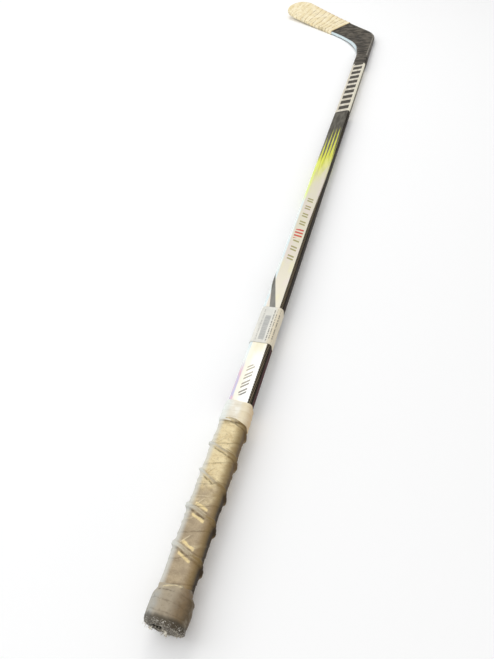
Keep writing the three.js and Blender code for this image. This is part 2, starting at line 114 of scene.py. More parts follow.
def add_studio():
    add_softbox("key_softbox", (-1.5, -0.1, 1.9), (0.05, -0.1, 0), 2.4, 25, (0.97, 0.985, 1.0))
    add_softbox("far_softbox", (-0.35, 1.0, 1.9), (0.1, -0.5, 0), 1.1, 10, (1.0, 0.98, 0.94))
    add_softbox("near_softbox", (0.5, -1.9, 1.5), (0.1, -0.6, 0), 1.2, 5, (1.0, 0.97, 0.92))
    scene = bpy.context.scene
    scene.view_settings.view_transform = "Standard"
    world = bpy.data.worlds.new("studio")
    scene.world = world
    world.use_nodes = True
    background = world.node_tree.nodes["Background"]
    background.inputs["Color"].default_value = (0.985, 0.99, 1.0, 1)
    background.inputs["Strength"].default_value = 0.62
    bpy.ops.mesh.primitive_plane_add(size=60)
    floor = bpy.context.object
    floor.name = "floor"
    paint = Graph("floor_paint")
    paint.shader.inputs["Base Color"].default_value = (0.97, 0.97, 0.97, 1)
    paint.shader.inputs["Roughness"].default_value = 0.9
    paint.shader.inputs["Specular IOR Level"].default_value = 0.1
    floor.data.materials.append(paint.material)


# ------------------------------------------------------------------ node graphs for materials


def rgb(code):
    """A colour as the eye sees it, such as "#EBDDB5", as the linear colour that a shader takes."""
    parts = [int(code[k:k + 2], 16) / 255 for k in (1, 3, 5)]
    linear = [p / 12.92 if p <= 0.04045 else ((p + 0.055) / 1.055) ** 2.4 for p in parts]
    return (*linear, 1)


class Signal:
    """A number or colour that varies over a surface, with arithmetic that adds nodes."""

    def __init__(self, graph, socket):
        self.graph = graph
        self.socket = socket

    def __add__(self, other):
        return self.graph.math("ADD", self, other)

    def __sub__(self, other):
        return self.graph.math("SUBTRACT", self, other)

    def __rsub__(self, other):
        return self.graph.math("SUBTRACT", other, self)

    def __mul__(self, other):
        return self.graph.math("MULTIPLY", self, other)

    def __truediv__(self, other):
        return self.graph.math("DIVIDE", self, other)

    __radd__ = __add__
    __rmul__ = __mul__

    def abs(self):
        return self.graph.math("ABSOLUTE", self)

    def fract(self):
        return self.graph.math("FRACT", self)

    def max(self, other):
        return self.graph.math("MAXIMUM", self, other)

    def min(self, other):
        return self.graph.math("MINIMUM", self, other)

    def sine(self):
        return self.graph.math("SINE", self)

    def step(self, low, high):
        """Smoothly from 0 at low to 1 at high, which may be the smaller of the two."""
        node = self.graph.node("ShaderNodeMapRange", interpolation_type="SMOOTHSTEP")
        flip = low > high
        for name, value in (("Value", self), ("From Min", min(low, high)), ("From Max", max(low, high))):
            self.graph.feed(node.inputs[name], value)
        result = Signal(self.graph, node.outputs["Result"])
        return 1 - result if flip else result

    def band(self, low, high, soft):
        """1 between low and high and 0 outside, with soft edges."""
        return self.step(low - soft, low + soft) * self.step(high + soft, high - soft)


class Graph:
    """A procedural material under construction."""

    def __init__(self, name):
        self.material = bpy.data.materials.new(name)
        self.material.use_nodes = True
        self.tree = self.material.node_tree
        self.tree.nodes.clear()
        self.shader = self.node("ShaderNodeBsdfPrincipled")
        output = self.node("ShaderNodeOutputMaterial")
        self.tree.links.new(self.shader.outputs["BSDF"], output.inputs["Surface"])

    def node(self, kind, **settings):
        node = self.tree.nodes.new(kind)
        for name, value in settings.items():
            setattr(node, name, value)
        return node

    def feed(self, socket, value):
        if isinstance(value, Signal):
            self.tree.links.new(value.socket, socket)
        else:
            socket.default_value = value

    def math(self, operation, *values):
        node = self.node("ShaderNodeMath", operation=operation)
        for socket, value in zip(node.inputs, values):
            self.feed(socket, value)
        return Signal(self, node.outputs[0])

    def number(self, name):
        node = self.node("ShaderNodeAttribute", attribute_name=name)
        return Signal(self, node.outputs["Fac"])

    def place(self, name="stick"):
        """A point of the surface, in millimetres."""
        node = self.node("ShaderNodeAttribute", attribute_name=name)
        return Signal(self, node.outputs["Vector"])

    def frame_place(self):
        """A point of a CAD part's surface, in millimetres."""
        node = self.node("ShaderNodeTexCoord")
        scaled = self.node("ShaderNodeVectorMath", operation="SCALE")
        self.feed(scaled.inputs["Vector"], Signal(self, node.outputs["Object"]))
        scaled.inputs["Scale"].default_value = 1000
        return Signal(self, scaled.outputs["Vector"])

    def parts(self, vector):
        node = self.node("ShaderNodeSeparateXYZ")
        self.feed(node.inputs[0], vector)
        return [Signal(self, socket) for socket in node.outputs]

    def vector(self, *values):
        node = self.node("ShaderNodeCombineXYZ")
        for socket, value in zip(node.inputs, values):
            self.feed(socket, value)
        return Signal(self, node.outputs[0])

    def noise(self, vector, size, detail=2.0, rough=0.5, twist=0.0):
        """Noise from about 0.25 to 0.75, with features of about that size in millimetres."""
        node = self.node("ShaderNodeTexNoise")
        self.feed(node.inputs["Vector"], vector)
        for name, value in (("Scale", 1 / size), ("Detail", detail), ("Roughness", rough), ("Distortion", twist)):
            node.inputs[name].default_value = value
        return Signal(self, node.outputs["Fac"])

    def cells(self, vector, size):
        """Distance to the nearest of scattered points, about that far apart."""
        node = self.node("ShaderNodeTexVoronoi")
        self.feed(node.inputs["Vector"], vector)
        node.inputs["Scale"].default_value = 1 / size
        return Signal(self, node.outputs["Distance"])

    def mix(self, share, first, second):
        node = self.node("ShaderNodeMix", data_type="RGBA")
        for index, value in ((0, share), (6, first), (7, second)):
            self.feed(node.inputs[index], rgb(value) if isinstance(value, str) else value)
        return Signal(self, node.outputs[2])

    def bump(self, height, depth):
        """Relief from a height of 0 to 1, depth millimetres deep."""
        node = self.node("ShaderNodeBump")
        self.feed(node.inputs["Height"], height)
        node.inputs["Distance"].default_value = depth / 1000
        self.tree.links.new(node.outputs["Normal"], self.shader.inputs["Normal"])

    def finish(self, color, roughness, **settings):
        """Connects the shader; the settings are its other sockets, such as Coat_Weight."""
        self.feed(self.shader.inputs["Base Color"], color)
        self.feed(self.shader.inputs["Roughness"], roughness)
        for name, value in settings.items():
            self.feed(self.shader.inputs[name.replace("_", " ")], value)
        return self.material


def cloth_weave(graph, u, v, thread):
    """The height of a plain weave, 0 to 1, from two coordinates in millimetres."""
    turn = 2 * math.pi / (2 * thread)
    return ((u * turn).sine() * (v * turn).sine()) * 0.5 + 0.5


# ------------------------------------------------------------------ mesh helpers


def closed_between(outside, inside, ring, end="open"):
    """Faces of a closed solid between two grids of points (rows, columns, 3).

    ring joins the last column to the first. end="cup" closes the last row of each grid on its own,
    and end="open" joins the two last rows.
    """
    rows, columns = outside.shape[:2]
    index = np.arange(rows * columns).reshape(rows, columns)
    if ring:
        index = np.hstack([index, index[:, :1]])
    inner = index + rows * columns
    quads = []

    def add(a, b, c, d):
        quads.append(np.stack([a, b, c, d], -1).reshape(-1, 4))

    add(index[:-1, :-1], index[:-1, 1:], index[1:, 1:], index[1:, :-1])
    add(inner[:-1, :-1], inner[1:, :-1], inner[1:, 1:], inner[:-1, 1:])
    add(index[0, :-1], inner[0, :-1], inner[0, 1:], index[0, 1:])
    if end == "open":
        add(index[-1, :-1], index[-1, 1:], inner[-1, 1:], inner[-1, :-1])
    if not ring:
        add(index[:-1, 0], index[1:, 0], inner[1:, 0], inner[:-1, 0])
        add(index[:-1, -1], inner[:-1, -1], inner[1:, -1], index[1:, -1])
    faces = np.concatenate(quads).tolist()
    if end == "cup":
        last, last_inner = index[-1, :columns], inner[-1, :columns]
        for j in range(1, columns // 2):
            faces.append([int(last[k]) for k in (j - 1, j, columns - j, (columns - j + 1) % columns)])
            faces.append([int(last_inner[k]) for k in ((columns - j + 1) % columns, columns - j, j, j - 1)])
        half = columns // 2
        faces = [list(dict.fromkeys(face)) for face in faces]
        faces.append([int(last[k]) for k in (half - 1, half, half + 1)])
        faces.append([int(last_inner[k]) for k in (half + 1, half, half - 1)])
    return np.concatenate([outside.reshape(-1, 3), inside.reshape(-1, 3)]), faces


def add_piece(name, points, faces, material, replaces=(), numbers=None, vectors=None):
    """A piece of the stick from points in its own millimetres, with numbers kept for its material."""
    mesh = bpy.data.meshes.new(name)
    mesh.from_pydata([tuple(p) for p in points], [], faces)
    stick = mesh.attributes.new("stick", "FLOAT_VECTOR", "POINT")
    stick.data.foreach_set("vector", np.asarray(points, np.float32).ravel())
    for key, values in (vectors or {}).items():
        mesh.attributes.new(key, "FLOAT_VECTOR", "POINT").data.foreach_set(
            "vector", np.asarray(values, np.float32).ravel())
    for key, values in (numbers or {}).items():
        mesh.attributes.new(key, "FLOAT", "POINT").data.foreach_set(
            "value", np.asarray(values, np.float32).ravel())
    mesh.transform(TO_FRAME)
    mesh.validate()
    make_faces_point_out(mesh)
    mesh.shade_smooth()
    mesh.materials.append(material)
    piece = bpy.data.objects.new(name, mesh)
    bpy.context.scene.collection.objects.link(piece)
    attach(piece, "root")
    if replaces:
        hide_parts(*replaces)
    return piece


def make_faces_point_out(mesh):
    mesh.calc_loop_triangles()
    places = np.zeros(len(mesh.vertices) * 3)
    mesh.vertices.foreach_get("co", places)
    corners = np.zeros(len(mesh.loop_triangles) * 3, int)
    mesh.loop_triangles.foreach_get("vertices", corners)
    a, b, c = places.reshape(-1, 3)[corners.reshape(-1, 3)].transpose(1, 0, 2)
    if np.einsum("ij,ij->i", a, np.cross(b, c)).sum() < 0:
        mesh.flip_normals()


def sharpen(piece, degrees):
    """Shades the piece smooth, with creases kept where faces meet at more than that angle."""
    piece.data.set_sharp_from_angle(angle=math.radians(degrees))


def relief(points, size, seed, octaves=3):
    """Smooth noise from about -1 to 1 at each point, with features of that size."""
    shift = Vector((seed * 17.3, seed * -9.1, seed * 5.7))
    flat = np.asarray(points, float).reshape(-1, 3)
    values = [noise.fractal(Vector(p) / size + shift, 1.0, 2.0, octaves) for p in flat]
    return np.array(values).reshape(np.shape(points)[:-1])


def smoothstep(x, low, high):
    share = np.clip((x - low) / (high - low), 0, 1)
    return share * share * (3 - 2 * share)


def bell(x, middle, width):
    """1 at the middle, falling to 0 a few widths away."""
    return np.exp(-(((x - middle) / width) ** 2))


def tape_grid(rows, distance):
    """For a tape round the shaft: places along it and round it, and points on and across its faces."""
    y = np.broadcast_to(rows[:, None], (len(rows), len(distance)))
    round_it = np.broadcast_to(distance[None], y.shape)
    around = np.broadcast_to(face_distance(distance), y.shape)
    return y, round_it, around, around_shaft(rows, distance, 1.0)


def outward(points, ring):
    """Unit vectors square to a grid of points."""
    along = np.gradient(points, axis=0)
    if ring:
        across = np.roll(points, -1, 1) - np.roll(points, 1, 1)
    else:
        across = np.gradient(points, axis=1)
    normal = np.cross(across, along)
    return normal / np.maximum(np.linalg.norm(normal, axis=2, keepdims=True), 1e-9)


# ------------------------------------------------------------------ sections of the shaft


def section(distance, grow=0.0):
    """Points round the shaft's section at distances from the middle of the left side over the top.

    Gives x, z and the outward direction.
    """
    distance = np.mod(distance, PERIMETER)
    x, z = np.zeros_like(distance), np.zeros_like(distance)
    out_x, out_z = np.zeros_like(distance), np.zeros_like(distance)
    half_x, half_z = SHAFT_WIDTH / 2, SHAFT_THICKNESS / 2
    stretches = (
        (FLAT_Z, "line", (-half_x, 0), (0, 1), (-1, 0)),
        (QUARTER, "arc", (-FLAT_X, FLAT_Z), math.pi, None),
        (2 * FLAT_X, "line", (-FLAT_X, half_z), (1, 0), (0, 1)),
        (QUARTER, "arc", (FLAT_X, FLAT_Z), math.pi / 2, None),
        (2 * FLAT_Z, "line", (half_x, FLAT_Z), (0, -1), (1, 0)),
        (QUARTER, "arc", (FLAT_X, -FLAT_Z), 0, None),
        (2 * FLAT_X, "line", (FLAT_X, -half_z), (-1, 0), (0, -1)),
        (QUARTER, "arc", (-FLAT_X, -FLAT_Z), -math.pi / 2, None),
        (FLAT_Z, "line", (-half_x, -FLAT_Z), (0, 1), (-1, 0)),
    )
    start = 0.0
    for length, kind, place, direction, facing in stretches:
        here = (distance >= start - 1e-9) & (distance <= start + length + 1e-9)
        along = distance[here] - start
        if kind == "line":
            x[here] = place[0] + direction[0] * along
            z[here] = place[1] + direction[1] * along
            out_x[here], out_z[here] = facing
        else:
            turn = direction - along / SHAFT_CORNER
            out_x[here], out_z[here] = np.cos(turn), np.sin(turn)
            x[here] = place[0] + SHAFT_CORNER * out_x[here]
            z[here] = place[1] + SHAFT_CORNER * out_z[here]
        start += length
    return x + grow * out_x, z + grow * out_z, out_x, out_z


def section_distances(flat_step, corner_steps):
    """Distances round the section: fine round its corners, and flat_step apart on its faces."""
    distances, start = [], 0.0
    lengths = (FLAT_Z, QUARTER, 2 * FLAT_X, QUARTER, 2 * FLAT_Z, QUARTER, 2 * FLAT_X, QUARTER, FLAT_Z)
    for number, length in enumerate(lengths):
        steps = corner_steps if number % 2 else max(1, round(length / flat_step))
        distances.extend(start + length * k / steps for k in range(steps))
        start += length
    return np.array(distances)


def face_distance(distance):
    """Distance from the middle of the nearest wide face, positive towards the right side."""
    quarter = PERIMETER / 4
    around = np.mod(distance, PERIMETER)
    return np.where(around <= 2 * quarter, around - quarter, 3 * quarter - around)


def around_shaft(rows, distance, grow):
    """A grid of points round the shaft: rows along it, and grow outward by a number or a grid."""
    x, z, out_x, out_z = section(distance)
    grow = np.broadcast_to(grow, (len(rows), len(distance)))
    y = np.broadcast_to(np.asarray(rows)[:, None], grow.shape)
    return np.stack([x + grow * out_x, y, z + grow * out_z], -1)


# ------------------------------------------------------------------ outline of the blade

TO_TOE = np.array([-math.sin(BLADE_TURN), math.cos(BLADE_TURN)])
TO_SHAFT = np.array([-math.cos(BLADE_TURN), -math.sin(BLADE_TURN)])
HEEL = np.array([SHAFT_WIDTH / 2, STICK_LENGTH])
CURVE_SAMPLES = 400
TOE_END_SHARE = 0.985


def blade_point(along, up):
    return HEEL + along * TO_TOE + up * TO_SHAFT


def rocker_at(along):
    return ROCKER * (2 * along / BLADE_LENGTH - 1) ** 2


def bezier(*handles):
    """Points on a Bezier curve with any number of handles."""
    t = np.linspace(0, 1, CURVE_SAMPLES)[:, None]
    order = len(handles) - 1
    return sum(
        math.comb(order, k) * t**k * (1 - t) ** (order - k) * handle for k, handle in enumerate(handles)
    )


def rocker_curve(start, end, up):
    slope = 4 * ROCKER * (2 * start / BLADE_LENGTH - 1) / BLADE_LENGTH
    middle = (start + end) / 2
    return bezier(
        blade_point(start, up + rocker_at(start)),
        blade_point(middle, up + rocker_at(start) + slope * (middle - start)),
        blade_point(end, up + rocker_at(end)),
    )


def toe_curve(size, edge_up, side):
    handle = 0.5523
    length, height = size
    base = BLADE_LENGTH - length
    up = edge_up + rocker_at(BLADE_LENGTH)
    return bezier(
        blade_point(base, edge_up + rocker_at(base)),
        blade_point(base + handle * length, up),
        blade_point(BLADE_LENGTH, up + side * height * (1 - handle)),
        blade_point(BLADE_LENGTH, up + side * height),
    )


class Route:
    """A line through points, walked by its share of the whole length."""

    def __init__(self, points):
        self.points = points
        steps = np.linalg.norm(np.diff(points, axis=0), axis=1)
        self.distances = np.concatenate([[0], np.cumsum(steps)])

    def at(self, share):
        wanted = np.asarray(share) * self.distances[-1]
        return np.stack([np.interp(wanted, self.distances, self.points[:, k]) for k in (0, 1)], -1)


def blade_routes():
    """The sole and the top edge: round the bend, along the blade, and round the toe."""
    along = -rocker_at(0) / math.tan(BLADE_TURN)
    corner = blade_point(along, rocker_at(along))
    heel_top = np.array([SHAFT_WIDTH / 2, corner[1] - HEEL_ROUND])
    sole_first = rocker_curve(HEEL_ROUND, STRAIGHT_START, 0)
    sole_bend = np.concatenate([
        np.linspace((SHAFT_WIDTH / 2, TUBE_END + GAP), heel_top, CURVE_SAMPLES),
        bezier(heel_top, corner, sole_first[0])[1:],
        sole_first[1:],
    ])
    rise = BLADE_HEIGHT + ROCKER
    throat = blade_point((SHAFT_WIDTH - rise * math.cos(BLADE_TURN)) / math.sin(BLADE_TURN), rise)
    top_bend = bezier(
        np.array([-SHAFT_WIDTH / 2, TUBE_END + GAP]),
        throat,
        blade_point(STRAIGHT_START, BLADE_HEIGHT + rocker_at(STRAIGHT_START)),
    )
    sole = [
        sole_bend,
        rocker_curve(STRAIGHT_START, BLADE_LENGTH - TOE_LOWER[0], 0),
        toe_curve(TOE_LOWER, 0, 1),
    ]
    top = [
        top_bend,
        rocker_curve(STRAIGHT_START, BLADE_LENGTH - TOE_UPPER[0], BLADE_HEIGHT),
        toe_curve(TOE_UPPER, BLADE_HEIGHT, -1),
    ]
    return {"sole": [Route(p) for p in sole], "top": [Route(p) for p in top]}


EDGES = blade_routes()
OUTLINE = np.concatenate(
    [route.points for route in EDGES["sole"]] + [route.points[::-1] for route in reversed(EDGES["top"])]
)


def edge_points(edge, places):
    """Points on an edge at places: 0 to 1 round the bend, to 2 along the blade, to 3 round the toe."""
    places = np.asarray(places, float)
    parts = np.minimum(places.astype(int), 2)
    share = (places - parts) * np.where(parts == 2, TOE_END_SHARE, 1)
    points = np.zeros((len(places), 2))
    for part in range(3):
        here = parts == part
        points[here] = EDGES[edge][part].at(share[here])
    return points


def middle_height(points):
    offset = points - HEEL
    share = np.maximum(offset @ TO_TOE / BLADE_LENGTH, 0)
    up = offset @ TO_SHAFT / (BLADE_HEIGHT / 2) - 1
    return BLADE_CURVE * share**2 - BLADE_OPENING * share * up


def blade_thickness(points):
    along = (points - HEEL) @ TO_TOE
    share = smoothstep(along, THROAT_START, THROAT_END)
    blade = THICKNESS_HEEL + (THICKNESS_TOE - THICKNESS_HEEL) * np.maximum(along, 0) / BLADE_LENGTH
    return SHAFT_THICKNESS + (blade - SHAFT_THICKNESS) * share


def distance_to_outline(points):
    """How far each point in the plane of the stick is inside the blade's outline."""
    flat = points.reshape(-1, 2)
    starts, ends = OUTLINE[:-1], OUTLINE[1:]
    spans = ends - starts
    lengths = np.maximum((spans**2).sum(1), 1e-12)
    nearest = np.empty(len(flat))
    for first in range(0, len(flat), 2000):
        part = flat[first:first + 2000]
        offset = part[:, None] - starts[None]
        share = np.clip((offset * spans).sum(2) / lengths, 0, 1)
        nearest[first:first + 2000] = np.linalg.norm(offset - share[..., None] * spans, axis=2).min(1)
    return nearest.reshape(points.shape[:-1])


def half_blade(sole_places, top_places, flat_columns, grow=0.0, rim=0.0, wall_steps=2, round_steps=5):
    """Half of the blade's surface: a grid of plane points and heights, from the sole to the top edge."""
    sole, top = edge_points("sole", sole_places), edge_points("top", top_places)
    width = np.linalg.norm(top - sole, axis=1)
    thickness = blade_thickness((sole + top) / 2)
    radius = np.minimum(np.minimum(SHAFT_CORNER, 0.4 * thickness), 0.45 * width)
    lift = thickness / 2 - radius
    reach = radius + grow
    across, height = [], []
    for k in range(wall_steps):
        across.append(-grow + 0 * width)
        height.append(rim + (np.maximum(lift, rim) - rim) * k / wall_steps)
    for k in range(round_steps + 1):
        turn = k / round_steps * math.pi / 2
        across.append(radius - reach * math.cos(turn))
        height.append(lift + reach * math.sin(turn))
    flats = [radius + (width - 2 * radius) * k / flat_columns for k in range(1, flat_columns)]
    across = across + flats + [width - column for column in reversed(across)]
    height = height + [thickness / 2 + grow] * (flat_columns - 1) + list(reversed(height))
    across, height = np.stack(across, 1), np.maximum(np.stack(height, 1), rim)
    share = (across / width[:, None])[..., None]
    plane = sole[:, None] + share * (top - sole)[:, None]
    return plane, height, thickness


def blade_side(plane, height, side):
    return np.concatenate([plane, (middle_height(plane) + side * height)[..., None]], -1)


def round_toe(plane, height, thickness, rim):
    """Lowers the surface towards the outline all round, so that the toe is rounded as the edges are."""
    inside = distance_to_outline(plane)
    radius = np.minimum(SHAFT_CORNER, 0.4 * thickness)[:, None]
    short = np.clip(radius - inside, 0, radius)
    rounded = thickness[:, None] / 2 - radius + np.sqrt(np.maximum(radius**2 - short**2, 0))
    return np.maximum(np.minimum(height, rounded), rim)


def places(start, end, steps):
    return np.linspace(start, end, steps + 1)


# ------------------------------------------------------------------ materials of the hard parts


def carbon_look(graph):
    """Colour and height of the blade's wavy woven carbon, from the stick's own coordinates."""
    at = graph.place()
    x, y, z = graph.parts(at)
    sway = graph.noise(at, 34, 2) * 30
    wave = ((y * 0.9 - x * 0.25 + sway) * 0.42).sine() * 0.5 + 0.5
    broken = graph.noise(graph.vector(x * 0.35, y, z), 4.2, 3, 0.6)
    patches = graph.noise(at, 21, 3, 0.55)
    light = (wave * 0.3 + broken * 1.1 + patches * 1.6 - 1.12).step(0.1, 0.85)
    color = graph.mix(light, "#312C25", "#6B6458")
    fine = cloth_weave(graph, x + y, x - y, 0.9)
    return color, light * 0.5 + fine * 0.35


def make_carbon():
    """Woven carbon, with a painted highlight along the heel's corner and a painted pale blue reflection on the
    inner edge at the throat.
    """
    graph = Graph("woven_carbon")
    color, height = carbon_look(graph)
    heel, throat = graph.number("heel_highlight"), graph.number("throat_reflection")
    scratches_and_glint = graph.noise(graph.place(), 1.3, 3, 0.7)
    # Painted highlight up the heel's corner, broken by the noise, and a painted reflection on the throat's inner
    # edge.
    color = graph.mix(heel * scratches_and_glint.step(0.3, 0.5) * 0.8, color, "#A7A197")
    color = graph.mix(throat * 0.9, color, "#DCEBEE")
    graph.bump(height, 0.1)
    return graph.finish(color, scratches_and_glint * 0.25 + 0.4, Specular_IOR_Level=0.14)


def diagonal_bars(graph, along, lean, across, pitch, first, last):
    """Slanted bars that repeat along the shaft, each between two shares of the pitch."""
    turn = ((along - across * lean) / pitch).fract()
    return turn.band(first, last, 0.025)


def make_shaft_paint():
    """Pearl white, yellow flames and charcoal bands over black, under clear coat, with painted highlights near
    the grip and along the right corner, and a painted reflection along the left corner.
    """
    graph = Graph("shaft_paint")
    s, y, face = graph.parts(graph.place("paint"))
    at = graph.place()
    grain = graph.noise(graph.vector(s, y * 0.2, face), 5, 3)
    soft = graph.noise(graph.vector(s, y * 0.35, face), 16, 2)

    # Painted highlight: the pearl is painted brighter towards the grip, and glare adds a stronger painted
    # highlight between the collar and the label, standing for the clear coat's reflection.
    pearl = graph.mix(y.step(300, 430), "#F7F0DC", "#DDD6C1")
    pearl = graph.mix(soft.step(0.52, 0.68) * 0.55, pearl, "#DFD0CB")
    pearl = graph.mix(soft.step(0.48, 0.3) * 0.6, pearl, "#E2DCB2")
    glare = y.step(350, 300) * (s + 6).step(0, 7)
    pearl = graph.mix(glare * 0.85, pearl, "#FFFFFB")
    # Painted reflection: a pale blue strip along the left corner, lilac and pink towards the collar, stands for a
    # reflection along the glossy corner.
    edge = s.step(-9.0, -11.0)
    left_reflection = graph.mix(grain.step(0.4, 0.6), "#DCEDF0", "#EDF5F2")
    lilac_reflection = graph.mix(grain.step(0.42, 0.58), "#BFBCDD", "#E4B6C4")
    left_reflection = graph.mix(y.step(316, 288), left_reflection, lilac_reflection)
    color = graph.mix(edge * 0.9, pearl, left_reflection)

    rise = (y - s * 2.2 + (grain - 0.5) * 70).step(722, 836)
    mottle = graph.noise(graph.vector(s * 2.2, y * 0.12, 0), 5, 2)
    yellow = graph.mix(mottle.step(0.35, 0.65), "#CCCF26", "#E8E94C")
    color = graph.mix(rise, color, yellow)
    # Painted reflection: the left corner is painted pale yellow-green where the yellow paint reaches it.
    color = graph.mix(s.step(-8.8, -10.2) * y.step(672, 705) * y.step(830, 800) * 0.75, color, "#E4F26A")
    turn = ((s + 6.5) / 6.1 + 0.5).fract() - 0.5
    gap = turn.abs() * 6.1
    streak = graph.noise(graph.vector(s * 1.6, y * 0.03, 0), 2.2, 2)
    long_fingers = ((s + 3.4) * (math.pi / 6.1)).sine()
    long_fingers = (1 - long_fingers * long_fingers * 2) * 0.5 + 0.5
    reach = (y - s * 2.6 - 796 - long_fingers * 26 + (streak - 0.5) * 60) / 136 * 3.3
    flames = (reach - gap).step(-0.5, 0.45) * y.step(800, 845)
    fine = (((s + y * 0.02) / 1.55).fract() - 0.5).abs().step(0.36, 0.47)
    flames = flames.max(fine * y.step(815, 875) * 0.75)
    charcoal = graph.mix(grain.step(0.35, 0.7), "#4B473F", "#69655B")
    color = graph.mix(flames, color, charcoal)
    color = graph.mix(y.step(932, 960), color, charcoal)

    left_line = s + 5 + (y - 414) * 0.18
    right_line = 3.5 - s - (y - 414) * 0.245
    wedge = left_line.step(-0.5, 0.5) * right_line.step(-0.5, 0.5) * y.band(380, 520, 1)
    color = graph.mix(wedge, color, graph.mix(grain, "#47463D", "#6C6B62"))
    marks = diagonal_bars(graph, y, 0.9, s, 13.5, 0.08, 0.3)
    marks = marks.max(diagonal_bars(graph, y, 0.9, s, 13.5, 0.46, 0.68))
    marks = marks * y.band(256, 306, 0.5) * s.band(-5, 4, 0.4)
    color = graph.mix(marks * 0.9, color, graph.mix(y.step(255, 300), "#4C4840", "#A79F88"))
    dashes = diagonal_bars(graph, y, -0.45, s, 22.5, 0.04, 0.2)
    dashes = dashes.max(diagonal_bars(graph, y, -0.45, s, 22.5, 0.34, 0.5))
    dashes = dashes * y.band(510, 692, 0.5) * s.band(-5.2, 5.0, 0.4) * (1 - y.band(569, 599, 1))
    color = graph.mix(dashes * 0.9, color, "#968F4C")
    signal = diagonal_bars(graph, y, -0.3, s, 8, 0.1, 0.62) * y.band(573, 597, 0.5) * s.band(-7, 6.6, 0.4)
    color = graph.mix(signal * 0.95, color, "#C93E28")

    dash = graph.math("PINGPONG", y * 0.5 + s * 0.8, 1.0)
    border = 9.9 + y.step(600, 780) * 3.4 + (dash - 0.5) * (0.5 + 1.6 * y.step(560, 760))
    dark = (s - border).step(-0.35, 0.35).max(s.step(-17.4, -18.2))
    side = graph.mix(graph.noise(graph.vector(s * 3, y * 0.5, face), 6, 3).step(0.35, 0.7), "#1F1912", "#383026")
    maroon = s.step(17, 22) * y.step(470, 300)
    side = graph.mix(maroon * 0.6, side, "#5A1F2A")
    # Painted highlight: light slanted dashes along the right corner stand for the carbon weave catching the light
    # in the glossy corner.
    thread = ((y + s * 1.4) / 3.9).fract().band(0.1, 0.55, 0.12) * s.band(10.9, 14.2, 0.5)
    side = graph.mix(thread * y.step(1010, 700) * 0.7, side, "#938670")
    color = graph.mix(dark, color, side)

    white = graph.mix(grain.step(0.35, 0.65), "#C8C0AF", "#DED8C9")
    white = graph.mix(s.step(9, 12), white, "#EDE7D3")
    rungs = diagonal_bars(graph, y, 0.5, s, 27, 0.0, 0.4) * s.step(17, 14)
    rails = s.band(10.6, 19, 0.5).max(s.band(-16.5, -9.5, 0.5))
    ladder = rungs.max(rails) * (y - s * 0.5).band(1026, 1290, 1.0) * s.step(-17.5, -16)
    cells = (y - s * 0.5).band(1020, 1296, 1.0) * s.step(21, 19) * s.step(-17.5, -16)
    color = graph.mix(cells, color, graph.mix(grain, "#3A352D", "#57524A"))
    color = graph.mix(ladder, color, white)
    carbon, weave = carbon_look(graph)
    color = graph.mix(y.step(1291, 1297), color, carbon)
    wear = graph.noise(at, 2.2, 4, 0.7)
    graph.bump(weave * 0.5 + wear * 0.5, 0.04)
    matt = dark.max(y.step(850, 950))
    rough = 0.22 + 0.22 * matt + (wear - 0.5) * 0.16
    shine = (0.4 - 0.26 * y.step(850, 950)) * (1 - dark * 0.93)
    return graph.finish(
        color, rough, Specular_IOR_Level=shine, Coat_Weight=0.4 - 0.4 * matt, Coat_Roughness=0.14
    )


def make_resin():
    """Dark speckled resin of the sole's edge."""
    graph = Graph("edge_resin")
    at = graph.frame_place()
    spots = graph.noise(at, 1.6, 3, 0.6)
    color = graph.mix(spots.step(0.35, 0.7), "#2A2622", "#4A443D")
    graph.bump(spots, 0.06)
    return graph.finish(color, spots * 0.3 + 0.35)


def make_top_edge_reflection():
    """Pale blue painted reflection along the top edge, over a fine grain."""
    graph = Graph("top_edge_pale_reflection")
    at = graph.frame_place()
    grain = graph.noise(at, 4, 3, 0.6)
    # Painted reflection: the strip is painted pale blue.
    color = graph.mix(grain.step(0.35, 0.65), "#C2D6DD", "#E2EEF0")
    graph.bump(grain, 0.04)
    return graph.finish(color, grain * 0.2 + 0.3)


def make_hidden(name, dark, light, size, roughness):
    """A material with mottled colour and matching relief, for a part inside the stick."""
    graph = Graph(name)
    at = graph.frame_place()
    grain = graph.noise(at, size, 4, 0.65)
    pores = graph.cells(at, size * 0.6).step(0.1, 0.5)
    color = graph.mix(grain.step(0.3, 0.7), dark, light)
    graph.bump(grain * 0.6 + pores * 0.4, 0.12)
    return graph.finish(color, grain * 0.2 + roughness)


# ------------------------------------------------------------------ materials of the tapes and label


